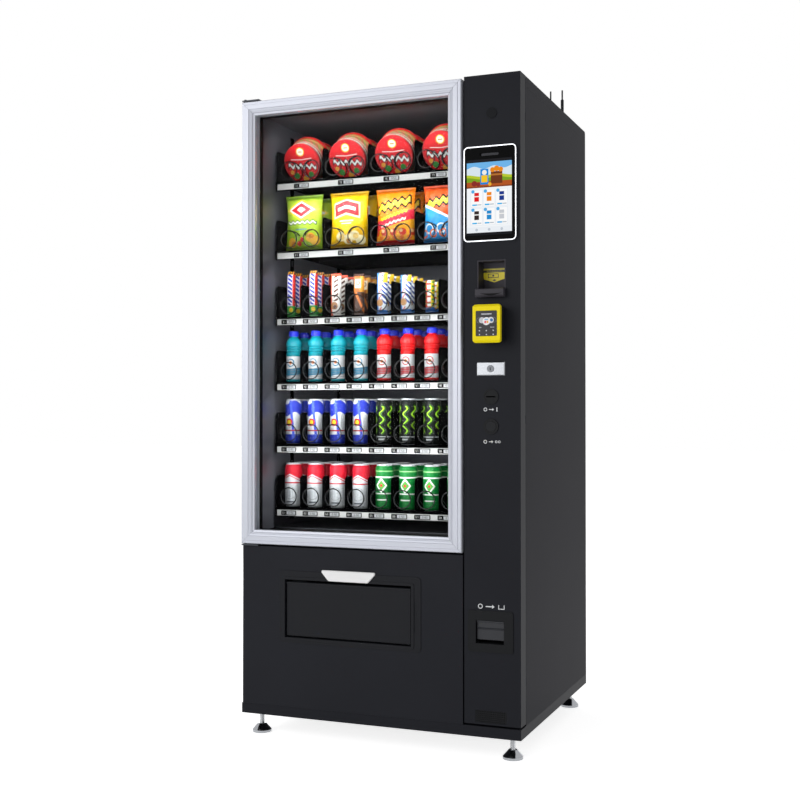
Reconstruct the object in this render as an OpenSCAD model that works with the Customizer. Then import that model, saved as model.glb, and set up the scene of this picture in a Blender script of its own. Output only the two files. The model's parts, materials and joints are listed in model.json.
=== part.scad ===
// Glass-fronted snack vending machine with six spiral trays, a payment pillar
// and a delivery flap. Millimetres, +Z up, the front faces -Y. The origin is
// on the floor below the middle of the whole machine.

/* [Cabinet] */
// Width of the cabinet
body_w = 884; // [860:2:940]
// Depth from the front plane to the back
body_d = 790; // [760:2:860]
// Height of the roof above the floor
body_h = 1940; // [1900:2:2000]
// Height of the plinth's underside above the floor
feet_h = 66; // [50:1:90]
// Height of the plinth
plinth_h = 30; // [20:1:50]
// Thickness of the insulated walls
wall = 32; // [24:1:40]
// Thickness of the partition between goods and payment compartments
partition_w = 19; // [12:1:24]
// Thickness of the outer sheet of the payment compartment
side_sheet = 6; // [3:0.5:8]
// Distance from the front plane back to the cabinet's front edges
door_zone = 52; // [48:0.5:56]
// Thickness of folded sheet metal
sheet = 2; // [1:0.1:3]

/* [Doors and front panels] */
// Width of the payment pillar's door
pillar_w = 166.5; // [166:0.5:180]
// Gap between the pillar's door and the parts on its left
pillar_gap = 4.5; // [4:0.1:6]
// Height of the lower front panel's top above the floor
panel_top = 576; // [560:1:590]
// Width of the glass door's aluminium profile
profile_w = 42; // [36:1:50]
// How far the glass door stands proud of the front plane
door_proud = 15; // [12:0.5:18]
// Depth of the aluminium profile behind the front plane
profile_back = 30; // [28:0.5:34]
// Thickness of the insulating glass
glass_t = 18; // [12:1:20]
// Gap above and below the glass door
door_gap = 7; // [6:0.5:10]
// Thickness of the control door, folded edge included
pillar_t = 50; // [44:0.5:50]

/* [Delivery] */
// Width of the delivery opening
mouth_w = 408; // [340:2:420]
// Height of the delivery opening
mouth_h = 174; // [150:1:190]
// Height of the delivery opening's lower edge above the floor
mouth_z = 306; // [290:1:320]
// Distance of the delivery opening's middle left of the cabinet's middle
mouth_left = 90; // [70:1:110]
// Thickness of the flap
flap_t = 4; // [2:0.5:5]
// Running gap round the flap
flap_gap = 4; // [2:0.5:6]

/* [Trays and spirals] */
// Columns in a tray
columns = 8; // [6:2:8]
// Heights of the rooms below, between and above the trays, from the sill up;
// they share the height of the glass opening in this proportion
tray_rooms = [54, 199, 196, 205, 209, 218, 185];
// Columns that work in pairs, counted in trays from the top
paired_trays = 2; // [0:1:3]
// Depth of the trays
tray_d = 505; // [480:1:520]
// Distance from the front plane back to the trays
tray_set_back = 140; // [135:1:150]
// Height of the dividers and end plates above the price rail
divider_h = 105; // [80:1:110]
// Height of the price rail
rail_h = 23; // [18:1:30]
// Clearance between a spiral, to the middle of its wire, and its column's side
coil_clearance = 11.5; // [10.5:0.5:14]
// Radius of the spirals' wire
wire_r = 1.8; // [1.4:0.1:2.2]
// Height of the spirals' lowest point, to the middle of its wire, above the price rail
coil_floor = 13; // [12:0.5:17]
// Turns of a spiral behind its front ring
coil_turns = 6; // [5:1:7]
// Distance of the front ring before the spiral's first turn
ring_gap = 8; // [6:0.5:12]
// Height of the motor boxes above the price rail
motor_h = 72; // [68:1:80]

/* [Payment pillar] */
// Width of the screen's frame
screen_w = 155; // [140:1:156]
// Height of the screen's frame
screen_h = 270; // [240:1:280]
// Distance of the screen's middle below the roof
screen_drop = 340; // [330:1:350]
// Distance of the camera disc below the roof
disc_drop = 111; // [100:1:120]
// Width of the picture
display_w = 132.5; // [110:0.5:134]
// Height of the picture
display_h = 215; // [190:1:220]
// How far the card reader stands out of the front
reader_stand = 60; // [50:1:65]
// Width of the card reader
reader_w = 80; // [70:1:90]
// Height of the card reader
reader_h = 107; // [95:1:115]
// Distance of the card reader's middle below the roof
reader_drop = 711; // [705:1:715]
// Distance of the bill entry's lower edge below the roof
bill_drop = 634; // [628:1:638]
// Width of the bill entry
bill_w = 84; // [80:1:90]
// Height of the bill entry
bill_h = 107; // [95:1:112]
// Depth of the bill entry
bill_d = 58; // [50:1:58]
// Distance of the key lock below the roof
lock_drop = 835; // [825:1:840]
// Radius of the lock's cylinder
lock_r = 10; // [8:0.5:12]
// Distance of the coin slot below the roof
coin_drop = 914; // [910:1:920]
// Distance of the change button below the roof
button_drop = 998; // [995:1:1010]
// Outer radius of the rings round coin slot and button
ring_r = 22; // [20:0.5:23]
// Radius of the change button
button_r = 15; // [12:0.5:16]
// Travel of the change button
button_travel = 4; // [3:0.5:5]
// Width of the coin return opening
cup_w = 83; // [70:1:90]
// Height of the coin return opening
cup_h = 66; // [60:1:72]
// Height of the coin return opening's lower edge above the floor
cup_z = 330; // [320:1:340]

/* [Hidden] */
$fn = 48;
eps = 1;
seat = 0.3;
run = 0.05;

// Places across the front: each is a [low, high] pair
function grow(range, by) = [range[0] - by, range[1] + by];
function around(middle, size) = [middle - size / 2, middle + size / 2];
function middle(range) = (range[0] + range[1]) / 2;
// Sum of v[0] to v[k]
function sum_to(v, k) = k < 0 ? 0 : v[k] + sum_to(v, k - 1);

front_y = -(body_d - reader_stand) / 2;
body_x = around(0, body_w);
pillar_x = [body_x[1] - pillar_w, body_x[1]];
left_x = [body_x[0], pillar_x[0] - pillar_gap];
door_side_gap = 3;
door_x = [left_x[0] + door_side_gap, left_x[1]];
door_z = [panel_top + door_gap, body_h - door_gap];
open_x = grow(door_x, -profile_w);
open_z = grow(door_z, -profile_w);
plinth_z = [feet_h, feet_h + plinth_h];

// Inside of the goods compartment, liner included
goods_x = [body_x[0] + wall, open_x[1] + wall - 18];
goods_z = [door_z[0] + 35, body_h - wall];
liner_x = grow(goods_x, -sheet - seat);
partition_x = [goods_x[1], goods_x[1] + partition_w];
pay_x = [partition_x[1], body_x[1] - side_sheet];
back_wall = 36;
inner_back = body_d - back_wall;
shaft_d = [door_zone + 8, tray_set_back + 10];

// Trays
end_clear = 5;
lane_w = (open_x[1] - open_x[0] - 2 * end_clear) / columns;
lane0_x = open_x[0] + end_clear + lane_w / 2;
trays = len(tray_rooms) - 1;
open_h = open_z[1] - open_z[0];
tray_tops = [for (n = [1 : trays])
  open_z[0] + open_h * sum_to(tray_rooms, trays - n) / sum_to(tray_rooms, trays)];
motor_d = 44;
tray_back = tray_set_back + tray_d;
coil_r = lane_w / 2 - coil_clearance;
coil_z = coil_floor + coil_r;
coil_start = tray_set_back - 4 + ring_gap;
hub_l = 8;
hub_r = 9;
coil_len = tray_back - motor_d - hub_l - 1 - coil_start;
shaft_r = 4;
shaft_l = hub_l + 20;
spoke_r = wire_r - 0.4;

// Pillar
pay_mid = middle(pillar_x) - 3;
screen_z = body_h - screen_drop;
disc_at = [pay_mid + 2.5, body_h - disc_drop];
reader_z = body_h - reader_drop;
bill_z = body_h - bill_drop;
lock_z = body_h - lock_drop;
coin_z = body_h - coin_drop;
button_z = body_h - button_drop;
panel_skin = 3;
hinge_at = [body_x[1] - 4, pillar_t - 4];
hinge_pin_r = 2;
knuckle_r = 4;
knuckle_h = 20;
control_z = [plinth_z[1] + 6, body_h];
knuckle_levels = [control_z[0] + 120, middle(control_z) - 60, control_z[1] - 120];
glass_pin = [door_x[0] + 8, -4];
glass_pin_r = 4;
flap_pin_r = 3;

// Flat shapes drawn in x and z and pushed from depth d[0] to depth d[1]
module along_y(d) {
  translate([0, front_y + d[1], 0])
    rotate([90, 0, 0]) linear_extrude(d[1] - d[0]) children();
}

// Flat shapes drawn in depth and z and pushed across from x[0] to x[1]
module along_x(x) {
  translate([x[0], front_y, 0])
    rotate([90, 0, 90]) linear_extrude(x[1] - x[0]) children();
}

module block(x, d, z) {
  translate([x[0], front_y + d[0], z[0]])
    cube([x[1] - x[0], d[1] - d[0], z[1] - z[0]]);
}

module rod_x(x, d, z, r) {
  translate([x[0], front_y + d, z])
    rotate([0, 90, 0]) cylinder(r = r, h = x[1] - x[0]);
}

module rod_y(x, d, z, r) {
  translate([x, front_y + d[1], z])
    rotate([90, 0, 0]) cylinder(r = r, h = d[1] - d[0]);
}

module rod_z(x, d, z, r) {
  translate([x, front_y + d, z[0]]) cylinder(r = r, h = z[1] - z[0]);
}

module rect(x, z) {
  translate([x[0], z[0]]) square([x[1] - x[0], z[1] - z[0]]);
}

module round_rect(x, z, r) {
  rect(grow(x, -r), z);
  rect(x, grow(z, -r));
  for (cx = grow(x, -r), cz = grow(z, -r)) translate([cx, cz]) circle(r);
}

// Outline of a sheet of thickness t folded along the points p
function left_of(a, b) = [a[1] - b[1], b[0] - a[0]] / norm(b - a);
function fold_point(p, i, t) =
  i == 0 ? p[0] + t * left_of(p[0], p[1])
  : i == len(p) - 1 ? p[i] + t * left_of(p[i - 1], p[i])
  : let (m = left_of(p[i - 1], p[i]), n = left_of(p[i], p[i + 1]))
    p[i] + t * (m + n) / (1 + m * n);
module folded_sheet(p, t) {
  polygon(concat(p, [for (i = [len(p) - 1 : -1 : 0]) fold_point(p, i, t)]));
}

// ---- Cabinet ----

module left_side_panel() {
  color("#33363a")
    block([body_x[0], goods_x[0] - seat], [door_zone, inner_back - seat],
          [plinth_z[1], goods_z[1] - seat]);
}

module right_side_panel() {
  color("#3a3d42")
    block([pay_x[1], body_x[1]], [door_zone, inner_back - seat],
          [plinth_z[1], goods_z[1] - seat]);
}

module roof_panel() {
  edge = 6;
  color("#33363a")
    along_x(body_x)
      polygon([[door_zone, goods_z[1]], [body_d, goods_z[1]],
               [body_d, body_h - edge], [body_d - edge, body_h],
               [door_zone, body_h]]);
}

module back_panel() {
  skin = 4;
  pocket_z = [plinth_z[1] + 6, goods_z[0] - 30];
  color("#2f3236") difference() {
    block(body_x, [inner_back, body_d], [plinth_z[1], goods_z[1] - seat]);
    block([goods_x[0], goods_x[1] - 5], [inner_back - eps, body_d - skin], pocket_z);
    block(pay_x, [inner_back - eps, body_d - skin],
          [plinth_z[1] + 6, goods_z[1] - 12]);
    louvres(grow([goods_x[0], goods_x[1]], -60), [pocket_z[0] + 60, pocket_z[1] - 90], 22);
    louvres(grow(pay_x, -30), [goods_z[1] - 260, goods_z[1] - 80], 18);
  }
}

// Rows of ventilation slots through the back
module louvres(x, z, step) {
  gap = 24;
  cols = 3;
  w = (x[1] - x[0] - (cols - 1) * gap) / cols;
  for (c = [0 : cols - 1], lz = [z[0] : step : z[1]])
    block([x[0] + c * (w + gap), x[0] + c * (w + gap) + w],
          [inner_back - eps, body_d + eps], [lz, lz + 6]);
}

module partition_wall() {
  keeper_z = around(lock_z, 40);
  color("#3a3d42") {
    block([partition_x[0] + seat, partition_x[1]], [door_zone, inner_back - seat],
          [plinth_z[1], goods_z[1] - seat]);
    // Keeper that the lock's cam turns behind, a plate of its own set against the wall
    block([partition_x[1] + seat, partition_x[1] + 26], [door_zone, door_zone + 2],
          keeper_z);
  }
}

module cabinet_deck() {
  span = [goods_x[0], goods_x[1]];
  color("#2b2d30") {
    block(span, [shaft_d[1], inner_back - seat], [goods_z[0] - 28, goods_z[0]]);
    // Sill below the glass opening, down to the chute's sides
    block(span, [door_zone, shaft_d[0]], [knee_z + seat, goods_z[0]]);
  }
}

foot_x = body_w / 2 - 40;
foot_d = [55, body_d - 70];
stem_r = 7.3;
boss_r = 14;
module at_feet() {
  for (x = [-foot_x, foot_x], d = foot_d) translate([x, front_y + d, 0]) children();
}

module base_plinth() {
  lip = 4;
  color("#232528") difference() {
    union() {
      difference() {
        block(body_x, [0, body_d], plinth_z);
        block(grow(body_x, -lip), [lip, body_d - lip],
              [plinth_z[0] - eps, plinth_z[1] - lip]);
      }
      at_feet() translate([0, 0, plinth_z[0]]) cylinder(r = boss_r, h = plinth_h - eps);
    }
    at_feet() translate([0, 0, plinth_z[0] - eps])
      cylinder(r = stem_r + run, h = plinth_h - lip + eps);
  }
}

pad_socket = 12;
module foot_stems() {
  color("silver") at_feet() {
    translate([0, 0, pad_socket + seat])
      cylinder(r = stem_r, h = plinth_z[1] - 4 - 2 * seat - pad_socket);
    translate([0, 0, plinth_z[0] - 8 - seat]) cylinder(r = 12, h = 8, $fn = 6);
  }
}

module foot_pads() {
  pad_r = 29.5;
  pad_h = 26;
  color("#1c1c1c") at_feet() rotate_extrude()
    polygon([[0, 0], [pad_r, 0], [pad_r, 7], [stem_r + 5, pad_h],
             [stem_r + run, pad_h], [stem_r + run, pad_socket], [0, pad_socket]]);
}

module antennas() {
  color("#202020") for (x = [body_x[1] - 50, body_x[1] - 12]) {
    rod_z(x, 523, [body_h + seat, body_h + 46], 5);
    rod_z(x, 523, [body_h + 46 - eps, body_h + 77], 2.5);
  }
}

// ---- Lower front and delivery ----

bezel_x = [-mouth_left - mouth_w / 2 - 18, -mouth_left + mouth_w / 2 + 30];
bezel_z = [mouth_z - 16, mouth_z + mouth_h + 26];
mouth_x = around(-mouth_left, mouth_w);
mouth_range_z = [mouth_z, mouth_z + mouth_h];
bezel_cut = 6;
tube_wall = 6;
flap_axis = [7, mouth_range_z[1] - 12];
// Height at which the chute narrows to the bin
knee_z = mouth_range_z[1] + 30;

module lower_front_panel() {
  x = [door_x[0], left_x[1]];
  z = [plinth_z[1] + seat, panel_top];
  color("#26282b") difference() {
    along_y([0, pillar_t]) rect(x, z);
    along_y([sheet, pillar_t + eps]) rect(grow(x, -sheet), grow(z, -sheet));
    along_y([-eps, pillar_t]) rect(grow(bezel_x, -bezel_cut), grow(bezel_z, -bezel_cut));
  }
}

plate_step = 2;
rim_step = 4;
tube_d = 24;
module delivery_bezel() {
  rim_x = grow(mouth_x, 9);
  rim_z = grow(mouth_range_z, 8);
  color("#1e2022") difference() {
    union() {
      along_y([-plate_step, 0]) round_rect(bezel_x, bezel_z, 12);
      along_y([-rim_step, -1]) round_rect(rim_x, rim_z, 8);
      along_y([-1, tube_d]) rect(grow(mouth_x, tube_wall), grow(mouth_range_z, tube_wall));
    }
    along_y([-eps - rim_step, tube_d + eps]) rect(mouth_x, mouth_range_z);
    rod_x(grow(mouth_x, 5), flap_axis[0], flap_axis[1], flap_pin_r + run);
    // Finger scoops: in the rim's lower edge, and in the plate right of the rim
    along_y([-rim_step - eps, -plate_step])
      translate([middle(mouth_x), rim_z[0]]) bow(99, 4);
    along_y([-plate_step - eps, -plate_step + 1])
      translate([rim_x[1], middle(rim_z)]) rotate(-90) bow(93, 9);
  }
}

// Segment of a circle on the X axis, with its chord w wide and its bow h high
module bow(w, h) {
  r = (w * w / 4 + h * h) / (2 * h);
  intersection() {
    translate([0, h - r]) circle(r, $fn = 96);
    rect(around(0, w), [0, h]);
  }
}

module delivery_flap() {
  x = grow(mouth_x, -flap_gap);
  z = [mouth_range_z[0] + flap_gap + 1, flap_axis[1]];
  d = [flap_axis[0] - flap_t, flap_axis[0]];
  barrel_r = 5;
  color("#1b1c1e") {
    along_x(x) {
      rect(d, [z[0], z[1] + 2]);
      rect([d[0], d[1] + 8], [z[0], z[0] + 3]);
    }
    rod_x(x, flap_axis[0], flap_axis[1], barrel_r);
    rod_x(grow(mouth_x, 4.6), flap_axis[0], flap_axis[1], flap_pin_r);
  }
}

// Chute and bin: goods drop behind the sill and slide to the flap
module delivery_bin() {
  bin_x = grow(mouth_x, tube_wall);
  back = 225;
  low = mouth_range_z[0] - 8;
  shoulder = mouth_range_z[1] - 40;
  top = goods_z[0] - 29;
  front = tube_d + seat;
  wing_foot = knee_z - 6;
  span = [goods_x[0] + seat, goods_x[1] - seat];
  color("#303338") {
    along_x(bin_x)
      folded_sheet([[front, low], [back, low - 6], [back, shoulder],
                    [shaft_d[1], knee_z], [shaft_d[1], top]], sheet);
    for (x = [bin_x[0] - sheet, bin_x[1]]) along_x([x, x + sheet])
      polygon([[front, low], [back, low - 6], [back, shoulder],
               [shaft_d[1], knee_z], [front, knee_z]]);
    // Sloping wings narrow the drop to the bin
    along_y([shaft_d[0] + seat, shaft_d[1] + sheet])
      folded_sheet([[span[0], top], [bin_x[0] - sheet, wing_foot]], sheet);
    along_y([shaft_d[0] + seat, shaft_d[1] + sheet])
      folded_sheet([[bin_x[1] + sheet, wing_foot], [span[1], top]], sheet);
    along_y([shaft_d[1] - sheet, shaft_d[1]])
      polygon([[span[0], top], [bin_x[0], wing_foot], [bin_x[1], wing_foot],
               [span[1], top]]);
  }
}

module cooling_unit() {
  base_z = plinth_z[1] + seat;
  pan_t = 3;
  unit_d = [270, inner_back - 20];
  unit_x = grow([goods_x[0], goods_x[1]], -30);
  can_r = 78;
  can = [unit_x[0] + 130, middle(unit_d)];
  fin_x = [can[0] + can_r + 85, unit_x[1] - 20];
  fin_z = [base_z + pan_t - eps, base_z + 260];
  fin_d = unit_d[1] - 130;
  shroud_r = (fin_x[1] - fin_x[0]) / 2 - 18;
  shroud_t = 6;
  end_t = 10;
  color("#1f2123") {
    block(unit_x, unit_d, [base_z, base_z + pan_t]);
    // Compressor can with its domed lid
    translate([can[0], front_y + can[1], base_z + pan_t - 0.1]) rotate_extrude()
      polygon(concat([[0, 0], [can_r, 0]],
                     [for (a = [0 : 15 : 90]) [can_r * cos(a), 120 + 40 * sin(a)]]));
    // Condenser with its fins, end plates and fan shroud
    for (i = [0 : 9]) block(fin_x, [fin_d + i * 9, fin_d + i * 9 + 4], fin_z);
    for (x = [fin_x[0], fin_x[1] - end_t])
      block([x, x + end_t], [fin_d - 1, fin_d + 90], fin_z);
    difference() {
      rod_y(middle(fin_x), [fin_d - 50, fin_d + 1], middle(fin_z), shroud_r);
      rod_y(middle(fin_x), [fin_d - 50 - eps, fin_d - eps], middle(fin_z),
            shroud_r - shroud_t);
    }
  }
}

// ---- Goods compartment ----

module inner_liner() {
  x = grow(goods_x, -seat);
  z = [goods_z[0] + seat, goods_z[1] - seat];
  d = [door_zone, inner_back - seat];
  color("#8c9094") difference() {
    block(x, d, z);
    block(grow(x, -sheet), [d[0] - eps, d[1] - sheet], grow(z, -sheet));
    block(grow(x, -sheet), shaft_d, [z[0] - eps, z[0] + sheet + eps]);
  }
}

upright_w = 24;
upright_d = [264, tray_back - 20];
flange_z = 20;
// Slotted uprights on the liner's walls and a runner for each tray's side
module tray_supports() {
  color("#26282b") for (side = [0, 1]) mirror_about(middle(goods_x), side) {
    wall_x = goods_x[0] + seat + sheet;
    for (d = upright_d) along_x([wall_x + 0.1, wall_x + 1.5])
      difference() {
        rect(around(d, upright_w), [goods_z[0] + 20, goods_z[1] - 30]);
        for (s = [goods_z[0] + 40 : 50 : goods_z[1] - 60])
          rect(around(d, 8), [s, s + 20]);
      }
    for (top = tray_tops) {
      z = top + flange_z - seat;
      along_y([tray_set_back + 60, tray_back])
        folded_sheet([[wall_x + 1.6, z - 16], [wall_x + 1.6, z],
                      [open_x[0] - sheet - 1, z]], -1.5);
    }
  }
}

// Copies a left-hand part to the right of the plane at x
module mirror_about(x, on) {
  translate([on * 2 * x, 0, 0]) mirror([on, 0, 0]) children();
}

// Lamp strip below the compartment's ceiling, behind the door frame's top
module led_strips() {
  ceiling = goods_z[1] - seat - sheet;
  color("#f4f4ee")
    block(grow(goods_x, -40), [door_zone + 6, door_zone + 20],
          [ceiling - 6, ceiling - 0.2]);
}

rail_t = 6;
tray_x = grow(open_x, sheet);
corner_r = 14;
module end_plate(top) {
  d = [tray_set_back, tray_back];
  hole_step = 14;
  hole_r = 2.4;
  difference() {
    union() {
      rect([d[0] + corner_r, d[1]], [top + 5, top + divider_h]);
      rect(d, [top + 5, top + divider_h - corner_r]);
      translate([d[0] + corner_r, top + divider_h - corner_r]) circle(corner_r);
    }
    for (i = [0 : 3]) translate([d[0] + 19, top + 40 + hole_step * i]) circle(hole_r);
  }
}

// Tray number n from the top: floor with price rail, end plates, dividers and
// the motor box behind
module tray(n) {
  top = tray_tops[n - 1];
  lanes = n <= paired_trays ? columns / 2 : columns;
  lane = lane_w * columns / lanes;
  floor_z = [top + 2, top + 4];
  color("#1a1b1d") {
    along_x(tray_x) {
      difference() {
        rect([tray_set_back - rail_t, tray_set_back - seat],
             [top - rail_h, top + 4]);
        rect([tray_set_back - rail_t - eps, tray_set_back - rail_t + 1.5],
             [top - rail_h + 2, top - 2]);
      }
      rect([tray_set_back, tray_back], floor_z);
    }
    for (side = [0, 1]) mirror_about(middle(open_x), side) {
      along_x([tray_x[0], open_x[0]]) end_plate(top);
      block([tray_x[0] - 5, tray_x[0] + 0.5], [tray_set_back + 40, tray_back],
            [top + flange_z, top + flange_z + 3]);
    }
    for (i = [1 : lanes - 1])
      along_x(around(open_x[0] + end_clear + i * lane, 1.5))
        divider(top);
    difference() {
      block([open_x[0] + seat, open_x[1] - seat],
            [tray_back - motor_d, tray_back - sheet - seat],
            [top + 4 + seat, top + motor_h]);
      for (i = [0 : columns - 1])
        rod_y(lane0_x + i * lane_w, [tray_back - motor_d - eps, tray_back - 20],
              top + coil_z, shaft_r + run);
    }
  }
}

module divider(top) {
  d = [tray_set_back + 1, tray_back - motor_d - seat];
  z = [top + 4 + seat, top + divider_h];
  rect([d[0] + corner_r, d[1]], z);
  rect(d, [z[0], z[1] - corner_r]);
  translate([d[0] + corner_r, z[1] - corner_r]) circle(corner_r);
}

// Half turn i of a coil, tilted so that it climbs along the axis by climb. The seam
// of its round wire is turned so that it meets the half turn before it
module half_turn(climb, i) {
  tilt = atan(climb / (2 * coil_r));
  rotate([0, -tilt, 0]) rotate_extrude(angle = 180)
    translate([coil_r / cos(tilt), 0]) rotate(2 * tilt * i) circle(r = wire_r);
}

// Coil along +Z from the origin, with a closed ring tied on before it, and a spoke,
// a hub and a shaft at its far end
module coil() {
  climb = coil_len / coil_turns / 2;
  translate([0, 0, -ring_gap]) {
    rotate_extrude() translate([coil_r, 0]) circle(r = wire_r);
    translate([-coil_r, 0, 0]) cylinder(r = spoke_r, h = ring_gap);
  }
  for (i = [0 : 2 * coil_turns - 1])
    translate([0, 0, (i + 0.5) * climb]) rotate([0, 0, 180 * (i % 2)]) half_turn(climb, i);
  translate([0, 0, coil_len]) {
    rotate([0, -90, 0]) cylinder(r = spoke_r, h = coil_r);
    translate([0, 0, -hub_l / 2]) cylinder(r = hub_r, h = hub_l);
    cylinder(r = shaft_r, h = shaft_l);
  }
}

// Spiral of column i in tray n; in a pair the left one is the mirror image
module spiral(n, i) {
  left_hand = n <= paired_trays && i % 2 == 0 ? 1 : 0;
  color("#2a2c2e")
    translate([lane0_x + i * lane_w, front_y + coil_start, tray_tops[n - 1] + coil_z])
      mirror([left_hand, 0, 0]) rotate([-90, 0, 0]) rotate([0, 0, 90]) coil();
}

module spirals(n) {
  first = n <= paired_trays ? 2 : 1;
  for (i = [first : columns - 1]) spiral(n, i);
}

// ---- Glass door ----

// Cross-section of the aluminium profile: u from the outer edge inwards, and depth
module profile_section() {
  p = door_proud;
  w = profile_w;
  polygon([[0, -p + 5], [2, -p + 2], [10, -p + 2], [11, -p], [24, -p],
           [25, -p + 2], [30, -p + 4], [31, -p + 3], [35, -p + 5], [36, -p + 8],
           [w, -p + 10], [w, 8], [w - 7, 8], [w - 7, 8 + glass_t + 2 * seat],
           [w - 2, 8 + glass_t + 2 * seat], [w - 2, profile_back], [0, profile_back]]);
}

// One mitred member of the frame, lying along +X at the bottom left corner
module member(length) {
  reach = door_proud + profile_back;
  intersection() {
    rotate([90, 0, 90]) linear_extrude(length) section_up();
    translate([0, reach, 0]) rotate([90, 0, 0]) linear_extrude(2 * reach)
      polygon([[seat, 0], [length - seat, 0],
               [length - seat - profile_w, profile_w], [seat + profile_w, profile_w]]);
  }
}

// The section with depth along the first axis and u along the second
module section_up() {
  rotate(90) mirror([0, 1]) profile_section();
}

// Depth of the bores for the glass door's pins, and how far the pins go in
pin_bore = 26;
pin_in = 25;
module door_frame() {
  w = door_x[1] - door_x[0];
  h = door_z[1] - door_z[0];
  color("#c9cbd0") difference() {
    union() {
      translate([door_x[0], front_y, door_z[0]]) member(w);
      translate([door_x[1], front_y, door_z[1]]) rotate([0, 180, 0]) member(w);
      translate([door_x[0], front_y, door_z[1]]) rotate([0, 90, 0]) member(h);
      translate([door_x[1], front_y, door_z[0]]) rotate([0, -90, 0]) member(h);
    }
    for (z = [door_z[0] - eps, door_z[1] - pin_bore])
      rod_z(glass_pin[0], glass_pin[1], [z, z + pin_bore + eps], glass_pin_r + run);
  }
}

module door_glass() {
  color("#9fb4bb", 0.35)
    block(grow(open_x, 6), [8 + seat, 8 + seat + glass_t], grow(open_z, 6));
}

module door_gasket() {
  band = 14;
  ring_x = [door_x[0] + 7, partition_x[1] - 2];
  ring_z = [door_z[0] + 5, door_z[1] - 8];
  depth = [profile_back + 0.2, 46];
  color("#141516") difference() {
    union() {
      along_y(depth) rect(door_x, door_z);
      along_y([depth[1] - eps, door_zone - seat]) rect(ring_x, ring_z);
    }
    along_y([depth[0] - eps, depth[1]]) rect(open_x, open_z);
    along_y([depth[1], door_zone]) rect(grow(ring_x, -band), grow(ring_z, -band));
    along_y([depth[1] - 2 * eps, depth[1] + eps]) rect(open_x, open_z);
  }
}

module door_hinges() {
  plate_x = [door_x[0] + 1, door_x[0] + 58];
  plate_d = [-12, door_zone];
  plate_t = 4;
  plate_gap = 1.5;
  upper_z = [door_z[1] + plate_gap, door_z[1] + plate_gap + plate_t];
  lower_z = [door_z[0] - plate_gap - plate_t, door_z[0] - plate_gap];
  pin_head = 3.5;
  color("#9a9da2") {
    for (z = [upper_z, lower_z]) block(plate_x, plate_d, z);
    rod_z(glass_pin[0], glass_pin[1], [door_z[1] - pin_in, upper_z[1] + pin_head],
          glass_pin_r);
    rod_z(glass_pin[0], glass_pin[1], [lower_z[0], door_z[0] + pin_in - eps],
          glass_pin_r);
    for (z = knuckle_levels) {
      rod_z(hinge_at[0], hinge_at[1], around(z, knuckle_h), knuckle_r);
      block(around(hinge_at[0], knuckle_r), [hinge_at[1], door_zone],
            around(z, knuckle_h));
      rod_z(hinge_at[0], hinge_at[1], around(z, 3 * knuckle_h), hinge_pin_r);
    }
  }
}

// ---- Control door and what is on it ----

screen_x = around(middle(pillar_x) - 3.5, screen_w);
screen_range_z = around(screen_z, screen_h);
disc_r = 15.6;
bill_x = around(pay_mid + 1, bill_w);
bill_range_z = [bill_z, bill_z + bill_h];
reader_x = around(pay_mid + 5, reader_w);
reader_range_z = around(reader_z, reader_h);
cup_x = around(pay_mid - 4, cup_w);
cup_range_z = [cup_z, cup_z + cup_h];
grille_x = around(pay_mid - 2, 92);
grille_z = [plinth_z[1] + 12, plinth_z[1] + 46];
cup_axis = [5, cup_range_z[1] - 4];
cup_pin_r = 2;
cup_wall = 3;

module control_door() {
  lip = 14;
  color("#232528") difference() {
    union() {
      difference() {
        along_y([0, pillar_t]) rect(pillar_x, control_z);
        along_y([panel_skin, pillar_t - panel_skin])
          rect(grow(pillar_x, -sheet), grow(control_z, -sheet));
        along_y([panel_skin, pillar_t + eps])
          rect(grow(pillar_x, -lip), grow(control_z, -lip));
        for (z = knuckle_levels) hinge_notch(z);
      }
      for (z = knuckle_levels, side = [-1, 1])
        rod_z(hinge_at[0], hinge_at[1],
              around(z + side * (knuckle_h + seat), knuckle_h), knuckle_r);
    }
    for (z = knuckle_levels)
      rod_z(hinge_at[0], hinge_at[1], around(z, 3 * knuckle_h + 2), hinge_pin_r + run);
    along_y([-eps, panel_skin + eps]) {
      round_rect(grow(screen_x, -2), grow(screen_range_z, -2), 10);
      rect(bill_x, bill_range_z);
      rect(grow(cup_x, 4), grow(cup_range_z, 4));
      rect(grille_x, grille_z);
      translate(disc_at) circle(disc_r - 3);
      translate([pay_mid, lock_z]) circle(lock_r + 1);
      translate([pay_mid, coin_z]) circle(ring_r - 4);
      translate([pay_mid, button_z]) circle(ring_r - 4);
    }
  }
}

// Room for the cabinet's knuckle at height z
module hinge_notch(z) {
  gap = 1;
  reach = knuckle_r + 1.5;
  block([hinge_at[0] - reach, body_x[1] + eps], [hinge_at[1] - reach, pillar_t + eps],
        around(z, knuckle_h + 2 * gap));
}

module screen_bezel() {
  rim = 3;
  color("#d8dadd") along_y([-10, -seat]) difference() {
    round_rect(screen_x, screen_range_z, 13);
    round_rect(grow(screen_x, -rim), grow(screen_range_z, -rim), 10);
  }
}

display_x = around(middle(screen_x) - 2, display_w);
display_z = around(screen_z - 10, display_h);
module screen_panel() {
  x = grow(screen_x, -3 - seat);
  z = grow(screen_range_z, -3 - seat);
  slot_z = screen_range_z[1] - 24;
  color("#0c0d0e") difference() {
    along_y([-9, 36]) round_rect(x, z, 9.7);
    along_y([-9 - eps, -7.5]) rect(grow(display_x, seat), grow(display_z, seat));
    along_y([-9 - eps, -6]) round_rect(around(middle(screen_x) - 2, 56),
                                       around(slot_z, 8), 3.9);
  }
}

module touch_display() {
  color("#b9d4e6") along_y([-9.2, -7.5 - 0.1]) rect(display_x, display_z);
}

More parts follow.
